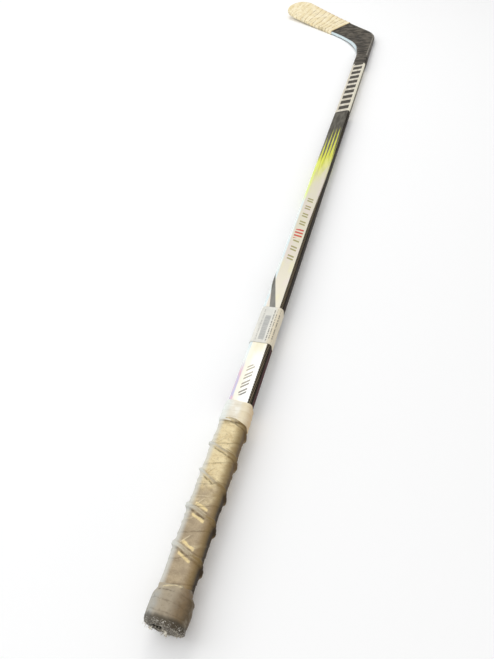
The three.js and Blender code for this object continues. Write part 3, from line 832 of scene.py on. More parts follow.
def make_blade_cloth():
    """Waxed cream tape, darker along the edges of its turns."""
    graph = Graph("blade_cloth")
    turns, up, along = graph.parts(graph.place("wrap"))
    at = graph.place()
    share = turns.fract()
    broken = graph.noise(graph.vector(up * 0.5, along * 0.3, turns), 4, 3, 0.6)
    blotch = graph.noise(at, 15, 3, 0.55)
    line = share.step(0.13, 0.02).max(share.step(0.96, 1.0))
    second = (turns * 2.0 + 0.37 + blotch * 0.5).fract().step(0.08, 0.0) * 0.5
    toe = along.step(215, 262)
    color = graph.mix(blotch.step(0.35, 0.7), "#E6D4A4", "#F6EAC9")
    color = graph.mix(share.step(0.1, 0.9) * 0.35, color, "#F9EFD2")
    color = graph.mix(line.max(second) * broken.step(0.32, 0.56) * (1 - toe * 0.7) * 0.85, color, "#A67F45")
    mottle = graph.noise(at, 5.5, 4, 0.65)
    color = graph.mix(toe * mottle.step(0.5, 0.66) * 0.55, color, "#C9B079")
    smudge = graph.noise(graph.vector(up * 0.6, along, 0), 7, 4, 0.7).step(0.52, 0.66)
    color = graph.mix(smudge * up.band(18, 32, 6) * along.band(120, 250, 12) * 0.55, color, "#8E7B57")
    sole = up.step(6.5, 0.5) * graph.noise(graph.vector(up, along * 0.4, 0), 3.5, 2).step(0.42, 0.56)
    color = graph.mix(sole * 0.75, color, "#B98F4F")
    top = up.step(60, 67) * graph.noise(graph.vector(up, along * 0.5, 3), 4.5, 3, 0.7).step(0.5, 0.6)
    color = graph.mix(top * 0.4, color, "#8B8066")
    weave = cloth_weave(graph, along, up, 0.42)
    graph.bump(weave * 0.6 + mottle * 0.4, 0.09)
    return graph.finish(color, mottle * 0.2 + 0.66, Sheen_Weight=0.15)


def make_grip_cloth():
    """Cream tape worn brown and grey by gloves towards the knob, with greyer ridges; painted highlights beside
    and along the ridges and on the folds, painted shade on the right side, and painted cool light on the left
    edge.
    """
    graph = Graph("grip_cloth")
    at = graph.place()
    x, y, z = graph.parts(at)
    ridge, edge, side, fold = (graph.number(name) for name in ("ridge", "edge", "around", "fold"))
    patch, strand = graph.number("patch"), graph.number("strand")
    blotch = graph.noise(at, 17, 3, 0.6)
    streak = graph.noise(graph.vector(x * 0.6, y * 1.2, z * 0.6), 7, 3, 0.6)
    grime = graph.noise(at, 4.5, 4, 0.7)
    fine = graph.noise(at, 1.1, 3, 0.7)
    worn = (y + (blotch - 0.5) * 100).step(148, 104)
    clean = graph.mix(streak.step(0.3, 0.6), "#D3BE92", "#EBDAAF")
    dirty = graph.mix(streak.step(0.3, 0.7), "#A4937A", "#BBA98C")
    color = graph.mix(worn, clean, dirty)
    color = graph.mix(grime.step(0.54, 0.74) * 0.4, color, "#857358")
    # Painted light and shade: the ridges are painted pale grey on the lit left side and brown on the shaded right
    # side.
    crest = graph.mix(side.step(-14, 0), "#D4D2C6", "#B4A78E")
    crest = graph.mix(side.step(1, 12), crest, "#9A865F")
    color = graph.mix(ridge.step(0.45, 0.85) * 0.85, color, crest)
    # Painted highlight: pale lines along the ridges' strands.
    color = graph.mix(strand.step(0.75, 1.0) * grime.step(0.42, 0.55) * 0.6, color, "#E2D6BC")
    # Painted highlight: pale patches beside the lower ridges.
    color = graph.mix(patch * (grime.step(0.7, 0.5) * 0.3 + 0.65), color, "#F0DAA4")
    # Painted highlight: the folds are painted paler along their crests.
    color = graph.mix(fold.step(0.25, 0.9) * 0.55, color, "#EADCB8")
    # Dark tape edges, with dirt and painted shade in the creases and a painted shadow under the collar.
    color = graph.mix(edge * grime.step(0.3, 0.5) * 0.85, color, "#4A3B25")
    color = graph.mix(fine.step(0.58, 0.7) * 0.3, color, "#E8DBBB")
    color = graph.mix(fine.step(0.44, 0.32) * 0.35, color, "#6B5838")
    # Painted shade: the right side is painted browner and then near black, darkest where the tape is worn.
    color = graph.mix(side.step(5, 14) * 0.8, color, "#80683E")
    right_side_shade = graph.mix(y.step(115, 165), "#291E10", "#66533A")
    color = graph.mix(side.step(12, 20) * 0.93, color, right_side_shade)
    # Painted light: the left edge is painted a cool pale grey.
    color = graph.mix(side.step(-7.5, -13) * 0.75, color, "#CFD1CC")
    weave = cloth_weave(graph, y, side, 0.45)
    graph.bump(weave * 0.4 + fine * 0.6, 0.14)
    return graph.finish(color, fine * 0.25 + 0.68, Sheen_Weight=0.06, Specular_IOR_Level=0.15)


def make_collar_cloth():
    """White tape, with painted cool light to the left and painted cream and brown shade to the right and down the
    side.
    """
    graph = Graph("collar_cloth")
    at = graph.place()
    _, y, _ = graph.parts(at)
    edge, side = graph.number("edge"), graph.number("around")
    blotch = graph.noise(at, 9, 3, 0.6)
    fine = graph.noise(at, 1.2, 3, 0.7)
    color = graph.mix(blotch.step(0.35, 0.7), "#E9E1CE", "#F6F2E6")
    color = graph.mix(y.step(225, 218) * blotch.step(0.4, 0.6) * 0.3, color, "#C4B698")
    color = graph.mix(edge * 0.4, color, "#BFB295")
    # Painted shade: creamier, then browner, to the right and down the side.
    color = graph.mix(side.step(2, 10) * 0.45, color, "#E5CF9C")
    color = graph.mix(side.step(10, 19) * 0.65, color, "#CBA771")
    # Painted light: cooler white to the left.
    color = graph.mix(side.step(-4, -13) * 0.6, color, "#DCE6E6")
    weave = cloth_weave(graph, y, side, 0.45)
    graph.bump(weave * 0.5 + fine * 0.5, 0.14)
    return graph.finish(color, fine * 0.2 + 0.7, Sheen_Weight=0.15)


def make_knob_cloth():
    """The end's tape, with painted grey light on the left side and painted brown shade on the right, and lint at
    its lip.
    """
    graph = Graph("knob_cloth")
    at = graph.place()
    x, y, _ = graph.parts(at)
    edge, fold = graph.number("edge"), graph.number("fold")
    blotch = graph.noise(at, 11, 3, 0.6)
    grime = graph.noise(at, 3.2, 4, 0.7)
    fine = graph.noise(at, 0.9, 3, 0.75)
    sway = x + (blotch - 0.5) * 14
    # Painted light and shade: grey to the left, browner and then dark brown to the right.
    color = graph.mix(sway.step(-14, -1), "#ABA9A1", "#A89B86")
    color = graph.mix(y.step(17, 30) * 0.7, color, "#B3A48A")
    color = graph.mix(sway.step(4, 15), color, "#7F6B4F")
    color = graph.mix(sway.step(14, 21) * 0.7, color, "#43351F")
    color = graph.mix(blotch.step(0.45, 0.7) * 0.3, color, "#B5AC9A")
    color = graph.mix(grime.step(0.52, 0.7) * 0.4, color, "#6E6352")
    color = graph.mix((y + (blotch - 0.5) * 7).step(5.5, 0.5) * 0.85, color, "#3D372D")
    # Painted highlight: the fold at the waist is painted paler.
    color = graph.mix(fold.step(0.3, 0.9) * grime.step(0.35, 0.5) * 0.7, color, "#E6D7AE")
    torn_edge = edge.step(0.3, 0.9) * x.step(-5, 0) * grime.step(0.42, 0.55)
    lint = (fine + grime * 0.5).step(0.83, 0.9).max(torn_edge) * y.step(2.5, -1.5)
    color = graph.mix(lint, color, "#E9E4D8")
    color = graph.mix(edge * grime.step(0.35, 0.55) * y.step(0, 3) * 0.7, color, "#574A36")
    weave = cloth_weave(graph, y, x, 0.45)
    graph.bump(weave * 0.3 + fine * 0.7, 0.2)
    return graph.finish(color, fine * 0.2 + 0.72, Sheen_Weight=0.08, Specular_IOR_Level=0.25)


def make_label_paper():
    """Matt paper with grey bars and rules that stand for its print."""
    graph = Graph("label_paper")
    s, y, _ = graph.parts(graph.place("paint"))
    at = graph.place()
    fibre = graph.noise(at, 1.4, 4, 0.7)
    crease = graph.noise(graph.vector(s, y * 0.3, 0), 8, 3)
    color = graph.mix(crease.step(0.35, 0.7), "#D6D5CD", "#E6E4DB")
    color = graph.mix(s.step(4, 11) * 0.8, color, "#E0D3B6")
    stripes = graph.noise(graph.vector(0, y, 0), 0.9, 1).step(0.47, 0.53)
    block = y.band(350, 395, 0.6) * s.band(-5.2, 2.4, 0.3)
    color = graph.mix(block * (0.3 + 0.4 * stripes), color, "#85878A")
    ticks = graph.noise(graph.vector(0, y, s.step(8.0, 8.2)), 2.6, 2).step(0.44, 0.5)
    rules = s.band(4.9, 6.4, 0.3).max(s.band(8.6, 9.8, 0.3)).max(s.band(12.6, 14.2, 0.3) * 0.9)
    rules = rules.max(s.band(-9.2, -7.4, 0.4) * 0.45)
    color = graph.mix(rules * ticks * y.band(348, 408, 0.8) * 0.8, color, "#5F5A4F")
    graph.bump(fibre * 0.4 + crease * 0.6, 0.1)
    return graph.finish(color, fibre * 0.15 + 0.5)


# ------------------------------------------------------------------ hard pieces


def add_shaft(material):
    """The painted tube, in lengths that meet end to end."""
    lengths = (
        ("shaft_under_tape", TUBE_START, COLLAR_END + 1),
        ("shaft_label_length", COLLAR_END + 1, 600),
        ("shaft_middle_length", 600, 970),
        ("shaft_blade_length", 970, TUBE_END),
    )
    distance = section_distances(2.5, 8)
    for name, start, end in lengths:
        rows = places(start, end, round((end - start) / 8))
        outside = around_shaft(rows, distance, 0.0)
        inside = around_shaft(rows, distance, -SHAFT_WALL)
        points, faces = closed_between(outside, inside, ring=True)
        s = np.broadcast_to(face_distance(distance), outside.shape[:2])
        paint = np.stack([s, outside[..., 1], np.sign(outside[..., 2]) * 100], -1)
        paint = np.concatenate([paint.reshape(-1, 3)] * 2)
        piece = add_piece(
            name, points, faces, material, ["shaft_tube"], vectors={"paint": paint}
        )
        sharpen(piece, 50)


def add_skins(material):
    """The two carbon skins of the blade and hosel."""
    rows = np.concatenate([places(0, 1, 110), places(1, 2, 60)[1:], places(2, 3, 55)[1:]])
    for name, side in (("blade_forehand", 1), ("blade_backhand", -1)):
        plane, height, thickness = half_blade(rows, rows, 22, rim=STRIP_HALF)
        height = round_toe(plane, height, thickness, STRIP_HALF)
        outside = blade_side(plane, height, side)
        heel_highlight, throat_reflection = edge_lines(plane, height, thickness)
        plane, height, _ = half_blade(rows, rows, 22, grow=-SKIN_WALL, rim=STRIP_HALF)
        inside = blade_side(plane, np.maximum(height, STRIP_HALF), side)
        node = name.replace("blade_", "") + "_skin"
        points, faces = closed_between(outside, inside, ring=False)
        lines = {"heel_highlight": twice(heel_highlight), "throat_reflection": twice(throat_reflection)}
        sharpen(add_piece(name, points, faces, material, [node], numbers=lines), 50)


def twice(grid):
    """A grid's numbers for the outside points of a piece and again for the inside ones."""
    return np.concatenate([grid.ravel(), grid.ravel()])


def edge_lines(plane, height, thickness):
    """Where the painted highlight runs up the heel's corner, and where the throat's edge has a painted pale blue
    reflection.
    """
    up_from_sole = np.linalg.norm(plane - plane[:, :1], axis=2)
    down_from_top = np.linalg.norm(plane - plane[:, -1:], axis=2)
    along = (plane[:, :1] - HEEL) @ TO_TOE
    heel = bell(up_from_sole, 3.4, 1.3) * (1 - smoothstep(along, -10, 20))
    throat = (1 - smoothstep(down_from_top, 0.6, 1.8)) * smoothstep(plane[:, -1:, 1], 1385, 1425)
    return heel, throat


# ------------------------------------------------------------------ tape on the blade

BLADE_WRAP_PITCH = 17


def add_blade_tape(material):
    """Overlapping slanted turns of tape, each a step up from the last, round the blade to its toe."""
    sole_places = np.concatenate([places(TAPE_START_SOLE, 2, 180), places(2, 3, 78)[1:]])
    top_places = np.concatenate([places(TAPE_START_TOP, 2, 180), places(2, 3, 78)[1:]])
    plane, height, thickness = half_blade(sole_places, top_places, 40, rim=0.0, wall_steps=1, round_steps=5)
    height = round_toe(plane, height, thickness, 0.0)
    upper, lower = blade_side(plane, height, 1), blade_side(plane, height, -1)[:, -2:0:-1]
    base = np.concatenate([upper, lower], 1)
    out = outward(base, ring=True)
    if out[10, 20, 2] < 0:
        out = -out
    along = (base[..., :2] - HEEL) @ TO_TOE
    up = (base[..., :2] - HEEL) @ TO_SHAFT
    front = upper.shape[1]
    lean = (sole_places[:, None] * 0 + along[:, :1]) - along[0, 0]
    back = np.clip((np.arange(base.shape[1]) - front) / (base.shape[1] - front), 0, 1)[None]
    sway = relief(np.stack([along, up * 0.6, back + 0 * along], -1), 26, 3) * 4.5
    backward = 22 * up / BLADE_HEIGHT * smoothstep(along, 105, 170)
    turns = (lean + sway * smoothstep(along, 100, 130) + backward) / BLADE_WRAP_PITCH - back + 0.02
    share = turns - np.floor(turns)
    step = 0.42 * (1 - smoothstep(share, 0.0, 0.95)) * smoothstep(share, 0, 0.05)
    fade = 1 - 0.55 * smoothstep(along, 220, 265)
    lumps = relief(base, 9, 5) * 0.12 + relief(base, 3.5, 8) * 0.06
    grow = GAP + 0.45 + step * fade + lumps * (0.6 + 0.8 * smoothstep(along, 215, 260))
    outside = base + out * grow[..., None]
    inside = base + out * 0.12
    points, faces = closed_between(outside, inside, ring=True, end="cup")
    wrap = np.stack([turns, up, along], -1).reshape(-1, 3)
    piece = add_piece(
        "blade_wraps", points, faces, material, ["blade_tape"],
        vectors={"wrap": np.concatenate([wrap, wrap])},
    )
    sharpen(piece, 60)


# ------------------------------------------------------------------ tape on the grip

OVERWRAP_PITCH, COLLAR_PITCH = 26, 8.5
CORD_STRAY, CORD_RADIUS, CORD_SEAT = 2.2, 1.15, 1.4
RIDGE_TOP, RIDGE_BOTTOM = 226, 43


def helix_offset(y, distance, phase, rise, pitch):
    """Distance along the shaft to the nearest turn of a helix that rises so much in each turn."""
    offset = y - (phase + distance / PERIMETER * rise)
    return np.mod(offset + pitch / 2, pitch) - pitch / 2


def ridge_shift(y, distance):
    """How far the cord strays along the shaft from a true helix."""
    left = np.minimum(distance, PERIMETER - distance)
    bulge = 5 * np.exp(-((left / 14) ** 2) - ((y - 153) / 13) ** 2)
    return CORD_STRAY + bulge + 1.3 * np.sin(y / 17 + 5 * distance / PERIMETER)


def ridge_offset(y, distance):
    """Distance square to the cord under the tape, from its middle."""
    offset = helix_offset(y - ridge_shift(y, distance), distance, CORD_PHASE, -CORD_PITCH, CORD_PITCH)
    return offset * math.cos(math.atan(CORD_PITCH / PERIMETER))


def add_cord(material):
    """The cord that the ridges of the grip follow, wound round the shaft."""
    first, last = ((CORD_PHASE - place) / CORD_PITCH for place in (CORD_START, CORD_END))
    turns = np.linspace(first, last, 420)
    distance = np.mod(turns, 1) * PERIMETER
    straight = CORD_PHASE - turns * CORD_PITCH
    y = straight
    for _ in range(12):
        y = straight + ridge_shift(y, distance)
    x, z, _, _ = section(distance, CORD_SEAT)
    points, faces = tube_along(np.stack([x, y, z], -1), CORD_RADIUS, sides=8, taper=1)
    add_piece("twisted_cord", points, faces, material, ["grip_cord"])


# Each crossing fold leaves its ridge this far left of the face's middle, and climbs so much in a turn.
FOLD_START, FOLD_RISE = -10, 110
PATCH_OFFSET, PATCH_WIDTH = 5.4, 1.9


def crossing_fold(y, distance, square, around, ragged):
    """A fold that climbs to the right from each ridge, against the hand of the cord."""
    turned = (PERIMETER / 4 + FOLD_START) / PERIMETER
    phase = CORD_PHASE + CORD_STRAY - turned * (CORD_PITCH + FOLD_RISE)
    offset = helix_offset(y, distance, phase, FOLD_RISE, CORD_PITCH) + ragged * 0.6
    above_ridge = smoothstep(square, 1, 4) * (1 - smoothstep(square, 11, 17))
    return bell(offset, 0, 1.3) * above_ridge * smoothstep(11 - np.abs(around), 0, 3)


def painted_ridge_highlights(y, square, around, ragged):
    """1 on the cloth beside the lower ridges, where pale patches are painted as highlights, and 0 elsewhere."""
    beside = bell(np.abs(square), PATCH_OFFSET, PATCH_WIDTH)
    middle = smoothstep(9 - np.abs(around), 0, 3) * (1 - smoothstep(y, 112, 120))
    return smoothstep(beside * middle + ragged * 0.25, 0.45, 0.65)


def dark_lines(y, square, around, base, edge, ends):
    """Dark lines along the tape's edges, dirt and painted shade in the creases beside the ridges, and a painted
    shadow under the collar.
    """
    opened = smoothstep(around, 1, 6) * smoothstep(y, 150, 160)
    below = bell(square, -3.2, 0.7) * np.maximum(smoothstep(relief(base, 10, 75), -0.35, 0.1), opened)
    above = bell(square, 3, 0.5) * smoothstep(relief(base, 10, 77), -0.1, 0.3) * 0.7
    under_collar = COLLAR_START - 1.3 - 2.2 * smoothstep(around, -4, 20)
    shadow = bell(y, under_collar, 1.1) * (0.7 + 0.3 * smoothstep(around, -14, 2))
    return np.clip(np.maximum.reduce([edge * 0.6, shadow, below * ends, above * ends]), 0, 1)


def add_grip(material):
    """Worn tape drawn down over a twisted cord, with folds that cross it."""
    rows = places(GRIP_START, GRIP_END, 290)
    distance = section_distances(0.75, 9)
    y, d, around, base = tape_grid(rows, distance)
    square = ridge_offset(y, d) + relief(base, 9, 17) * 0.5
    ends = smoothstep(y, RIDGE_BOTTOM - 4, RIDGE_BOTTOM + 4)
    ends = ends * (1 - smoothstep(y, RIDGE_TOP - 3, RIDGE_TOP + 3))
    twist = 0.5 + 0.5 * np.sin((d * 0.9 - y * 0.8) * 0.9)
    slim = 1 - 0.25 * smoothstep(y, 110, 150)
    ridge = ends * bell(square, 0, 2.9 * slim)
    crest = ends * bell(np.abs(square), 1.35 * slim, 1.15 * slim)
    turn = (y - d / PERIMETER * OVERWRAP_PITCH + relief(base, 24, 11) * 2.5) / OVERWRAP_PITCH
    share = turn - np.floor(turn)
    step = 0.35 * smoothstep(share, 0.0, 0.03) * (1 - smoothstep(share, 0.03, 0.7))
    edge = np.maximum(1 - share / 0.045, 0) + np.maximum(1 - (1 - share) / 0.02, 0)
    fold = np.zeros_like(y)
    for phase, rise, width, seed in ((166, 52, 1.5, 61), (176, 34, 1.2, 67), (195, 24, 1.0, 71)):
        offset = helix_offset(y, d, phase, rise, CORD_PITCH) + relief(base, 20, seed) * 2.5
        shown = smoothstep(relief(base, 24, seed + 1), -0.1, 0.25)
        fold = np.maximum(fold, shown * bell(offset, 0, width) * 0.7)
    ragged = relief(base, 5, 79)
    fold = np.maximum(fold, crossing_fold(y, d, square, around, ragged) * ends)
    along = np.stack([base[..., 0] * 0.4, base[..., 1] * 1.5, base[..., 2] * 0.4], -1)
    creases = relief(along, 8, 13, 3) * (0.5 + 0.8 * smoothstep(y, 120, 150))
    lumps = relief(base, 12, 15)
    tents = np.exp(-np.abs(square) / 6)
    grow = GAP + 0.7 + step + 1.7 * ridge + crest * (0.75 + 0.35 * twist) + 0.6 * tents * ends
    grow = grow + 1.0 * fold * (1 - ridge) + creases * 0.2 + lumps * 0.22
    outside = around_shaft(rows, distance, grow)
    inside = around_shaft(rows, distance, 0.15 + 2.3 * ridge)
    points, faces = closed_between(outside, inside, ring=True)
    dark = dark_lines(y, square, around, base, edge, ends)
    patch = painted_ridge_highlights(y, square, around, ragged) * ends * (base[..., 2] > 6)
    numbers = {
        "ridge": ridge, "strand": crest, "edge": dark, "around": around, "fold": fold, "patch": patch,
    }
    piece = add_piece(
        "grip_wraps", points, faces, material, ["grip_tape"],
        numbers={name: twice(grid) for name, grid in numbers.items()},
    )
    sharpen(piece, 70)


def add_collar(material):
    """Clean white tape over the upper end of the grip, in three turns."""
    rows = places(COLLAR_START, COLLAR_END, 56)
    distance = section_distances(0.9, 9)
    y, d, around, base = tape_grid(rows, distance)
    turn = (y - d / PERIMETER * COLLAR_PITCH + relief(base, 20, 23) * 1.3) / COLLAR_PITCH
    share = turn - np.floor(turn)
    edge = np.clip(np.maximum(1 - share / 0.07, 0) + np.maximum(1 - (1 - share) / 0.04, 0), 0, 1)
    step = 0.3 * smoothstep(share, 0, 0.06) * (1 - smoothstep(share, 0.06, 0.9))
    hill = 1.55 - 0.35 * smoothstep(y, 224, 236) - 0.5 * smoothstep(y, 236, 246)
    lip = 0.7 + 0.3 * smoothstep(y, COLLAR_START, COLLAR_START + 1.4)
    end = 0.45 + 0.55 * (1 - smoothstep(y, COLLAR_END - 1.2, COLLAR_END))
    folds = relief(np.stack([base[..., 0], base[..., 1] * 2, base[..., 2]], -1), 8, 27)
    grow = GAP + 0.7 + hill * lip * end + step + folds * 0.22
    skew = np.where(rows > 232, 1, 0)[:, None] * around * -0.045
    skew = skew + np.where(rows < 226, 1, 0)[:, None] * smoothstep(around, -4, 20) * -2.2
    outside = around_shaft(rows, distance, grow)
    outside[..., 1] += skew
    inside = around_shaft(rows, distance, 0.2 + 1.2 * (1 - smoothstep(y, 219, 226)))
    inside[..., 1] += skew
    points, faces = closed_between(outside, inside, ring=True)
    piece = add_piece(
        "collar_wraps", points, faces, material, ["collar_tape"],
        numbers={"edge": twice(edge), "around": twice(around)},
    )
    sharpen(piece, 70)


# ------------------------------------------------------------------ the knob

WAIST, KNOB_PITCH = 25, 9


def knob_profile(y):
    """Radius of the knob along the shaft, and how round it is (1) or like the shaft's section (0)."""
    radius = np.interp(
        y,
        [KNOB_END, -2.2, -0.5, 2, 6, 14, 21, 24, 27, 30, 36],
        [17.4, 19.0, 20.2, 20.8, 21.0, 21.0, 20.8, 20.1, 18.6, 17.0, 16.2],
    )
    round_share = 1 - smoothstep(y, 23, 33)
    return radius, round_share


def knob_ring(y, angle, radius, round_share):
    """A point of the knob at an angle round the shaft."""
    cover = 2.2 - 1.7 * smoothstep(y, 30.5, 34)
    corner_x, corner_z = SHAFT_WIDTH / 2 + cover, SHAFT_THICKNESS / 2 + cover
    power = 4.5
    across, upward = np.abs(np.cos(angle) / corner_x), np.abs(np.sin(angle) / corner_z)
    flat = (across**power + upward**power) ** (-1 / power)
    reach = radius * round_share + flat * (1 - round_share)
    return np.stack([reach * np.cos(angle), y + 0 * angle, reach * np.sin(angle)], -1)


def add_knob(material):
    """Tape wound thick round the butt, lumpy and worn, with a lip round the end."""
    angle = np.linspace(math.pi, -math.pi, 150, endpoint=False)
    lip = [(KNOB_END + 1.8, 14.2), (KNOB_END + 0.8, 15.0), (KNOB_END + 0.2, 16.2)]
    side_rows = np.concatenate([[KNOB_END, -2.6, -2.2, -1.6], np.linspace(-1, 36, 84)])
    rows, radii = [y for y, _ in lip], [radius for _, radius in lip]
    radius, round_share = knob_profile(side_rows)
    y = np.concatenate([rows, side_rows])[:, None]
    radius = np.concatenate([radii, radius])[:, None]
    round_share = np.concatenate([np.ones(len(lip)), round_share])[:, None]
    wound = np.broadcast_to(angle[None], (len(y), len(angle)))
    base = knob_ring(y, wound, radius, round_share)
    wound_up = (math.pi - wound) / (2 * math.pi) * KNOB_PITCH
    turn = (base[..., 1] + wound_up + relief(base, 18, 31) * 1.8) / KNOB_PITCH
    share = turn - np.floor(turn)
    step = 0.3 * smoothstep(share, 0, 0.12) * (1 - smoothstep(share, 0.12, 0.8))
    edge = np.clip(np.maximum(1 - share / 0.1, 0) + np.maximum(1 - (1 - share) / 0.05, 0), 0, 1)
    lumps = relief(base, 14, 33) * 1.0 + relief(base, 5, 35) * 0.35
    rim = 1 - smoothstep(y, -2.5, 1.5)
    torn = relief(base, 2.6, 37) * 0.5 * rim
    x = base[..., 0]
    fold_line = 27.8 + 3.9 * smoothstep(x, -10, 4) + relief(base, 8, 43) * 0.6
    fold_width = 1.3 + 0.6 * relief(base, 6, 45)
    fold = bell(base[..., 1], fold_line, fold_width) * (base[..., 2] > 0)
    fold = fold * smoothstep(x, -12, -7) * (1 - smoothstep(x, 6, 12))
    from_waist = base[..., 1] - WAIST - relief(base, 4, 47) * 0.6
    wrinkle = bell(from_waist, 0, 0.8) * (base[..., 2] > 0)
    wrinkle = wrinkle * smoothstep(x, -16, -11) * (1 - smoothstep(x, 0, 5))
    grow = step + lumps * (0.35 + 0.65 * round_share) + torn + 1.3 * fold - 0.5 * wrinkle - 0.2
    grow = grow + (0.9 * smoothstep(x, -4, 18) - 1.2 * smoothstep(-x, 4, 18)) * round_share
    grow = grow + 1.1 * rim * smoothstep(x, 0, 16)
    away = base * np.array([1, 0, 1])
    away = away / np.linalg.norm(away, axis=2, keepdims=True)
    outside = base + away * grow[..., None]
    outside[..., 1] += relief(base, 5, 39) * 0.5 * rim - 0.5 * smoothstep(x, -6, 16) * rim
    inside = base - away * 0.9
    points, faces = closed_between(outside, inside, ring=True)
    piece = add_piece(
        "knob_wraps", points, faces, material, ["knob_tape"],
        numbers={
            "edge": twice(np.maximum(edge * smoothstep(y, 1, 4) * 0.6, wrinkle)),
            "fold": twice(fold),
        },
    )
    sharpen(piece, 70)


HOLE_X, HOLE_Z, HOLE_LEAN = -5.6, -0.5, math.radians(12)


def hole_edge(angle, wide, high):
    """A point of the slanted, ragged hole in the cloth over the end."""
    wide, high = wide * np.cos(angle), high * np.sin(angle)
    x = HOLE_X + wide * math.cos(HOLE_LEAN) - high * math.sin(HOLE_LEAN)
    return x, HOLE_Z + wide * math.sin(HOLE_LEAN) + high * math.cos(HOLE_LEAN)


def add_end_patch(material):
    """The cloth over the butt end, crumpled, and worn through in a ragged hole."""
    angle = np.linspace(math.pi, -math.pi, 120, endpoint=False)
    share = np.linspace(0, 1, 26)[:, None]
    way = np.stack([np.cos(angle) * 2.2, np.sin(angle) * 2.2, 0 * angle + 4], -1)
    ragged = 1 + 0.3 * relief(way, 1, 0, 2)
    inner_x, inner_z = hole_edge(angle, 5.2 * ragged, 7.0 * ragged)
    outer_x, outer_z = 15.4 * np.cos(angle), 15.4 * np.sin(angle)
    x = inner_x + (outer_x - inner_x) * share
    z = inner_z + (outer_z - inner_z) * share
    y = KNOB_END + 1.2 - 1.4 * np.sin(share * math.pi) ** 0.8 - 0.4 * (1 - share)
    y = y + relief(np.stack([x, 0 * x, z], -1), 5, 41) * 0.5 - 0.5 * smoothstep(x, -6, 16)
    outside = np.stack([x, y, z], -1)
    inside = outside + np.array([0, 0.8, 0])
    points, faces = closed_between(outside, inside, ring=True)
    edge = (1 - share + 0 * x) ** 6
    add_piece(
        "end_cloth", points, faces, material, ["end_patch"],
        numbers={"edge": twice(edge), "fold": twice(0 * x)},
    )


def torn_flap(root, way, bend, side, length, width, seed):
    """Points and faces of a small torn strip of cloth that curls away from its root."""
    root, way, bend, side = (np.array(vector, float) for vector in (root, way, bend, side))
    along = np.linspace(0, 1, 8)[:, None]
    across = np.linspace(-0.5, 0.5, 7)[None]
    ragged = 1 + 0.5 * relief(np.stack([across * 5, across * 0, across * 0], -1), 1, seed, 2)
    reach = (length * along * ragged)[..., None]
    sheet = root + way * reach + bend * reach * along[..., None]
    sheet = sheet + side * (width * across * (1 - 0.35 * along))[..., None]
    thick = np.cross(way, side) * 0.2
    return closed_between(sheet + thick, sheet - thick, ring=False)


def tube_along(path, radius, sides=5, taper=0.45):
    """Points and faces of a closed thread along a path."""
    path = np.asarray(path)
    forward = np.gradient(path, axis=0)
    forward /= np.linalg.norm(forward, axis=1, keepdims=True)
    first = np.cross(forward, np.array([0.31, 0.57, 0.76]))
    first /= np.linalg.norm(first, axis=1, keepdims=True)
    second = np.cross(forward, first)
    size = radius * np.linspace(1, taper, len(path))[:, None, None]
    turn = np.arange(sides) / sides * 2 * math.pi
    ring = np.cos(turn)[None, :, None] * first[:, None] + np.sin(turn)[None, :, None] * second[:, None]
    points = path[:, None] + size * ring
    faces = []
    for i in range(len(path) - 1):
        for j in range(sides):
            k = (j + 1) % sides
            faces.append([i * sides + j, i * sides + k, (i + 1) * sides + k, (i + 1) * sides + j])
    faces.append(list(range(sides - 1, -1, -1)))
    faces.append([(len(path) - 1) * sides + j for j in range(sides)])
    return points.reshape(-1, 3), faces


def add_frays(material):
    """Loose threads and lint where the end of the knob is torn."""
    draw = random.Random(5)
    points, faces = [], []

    def join(new_points, new_faces):
        faces.extend([[index + len(points) for index in face] for face in new_faces])
        points.extend(new_points.tolist())

    def add_thread(start, heading, length, radius, curl):
        path, place, way = [], Vector(start), Vector(heading).normalized()
        for _ in range(9):
            path.append(tuple(place))
            bend = Vector([draw.uniform(-1, 1) for _ in range(3)]) * curl
            way = (way + bend).normalized()
            place = place + way * length / 8
        join(*tube_along(path, radius))

    for _ in range(130):
        angle = draw.gauss(-0.7, 1.6)
        radius = draw.uniform(14, 19.2)
        start = (radius * math.cos(angle), KNOB_END - 0.2, radius * math.sin(angle))
        sway = draw.uniform(-0.8, 0.8), draw.uniform(-0.8, 0.8)
        heading = (0.5 * math.cos(angle) + sway[0], -1, 0.5 * math.sin(angle) + sway[1])
        add_thread(start, heading, draw.uniform(1.5, 4), draw.uniform(0.08, 0.17), 0.8)
    for _ in range(14):
        angle = draw.uniform(-1.9, 1.2)
        x, z = hole_edge(angle, 5.8, 7.4)
        heading = (draw.uniform(-1, 1), -1, draw.uniform(-1, 1))
        add_thread((x, KNOB_END, z), heading, draw.uniform(1.5, 4), draw.uniform(0.09, 0.2), 0.8)
    add_thread((2, KNOB_END, -2), (0.1, -1, -0.4), 6, 0.3, 0.35)
    add_thread((-17, 1, 6), (-0.6, -1, 0.1), 5, 0.24, 0.4)
    flaps = (
        ((2.2, KNOB_END + 0.3, -3.5), (0.1, -0.8, -0.5), (0, -0.1, -0.5), (1, 0.1, 0.1), 5.0, 3.6, 1),
        ((-12, KNOB_END + 0.3, -2.5), (-0.3, -0.8, -0.3), (0, 0.2, -0.5), (0.8, 0, 0.5), 4.5, 4.2, 2),
        ((-15, KNOB_END + 1, 5), (-0.4, -0.9, 0.1), (0, 0.2, -0.2), (0.5, 0, 0.8), 2.6, 4.5, 3),
    )
    for flap in flaps:
        join(*torn_flap(*flap))
    add_piece("knob_frays", points, faces, material)


def make_thread():
    """Bleached cotton."""
    graph = Graph("loose_thread")
    at = graph.place()
    fine = graph.noise(at, 1.5, 3, 0.7)
    color = graph.mix(fine.step(0.35, 0.65), "#A59B87", "#EDE8DA")
    graph.bump(fine, 0.05)
    return graph.finish(color, fine * 0.2 + 0.7)


# ------------------------------------------------------------------ the label


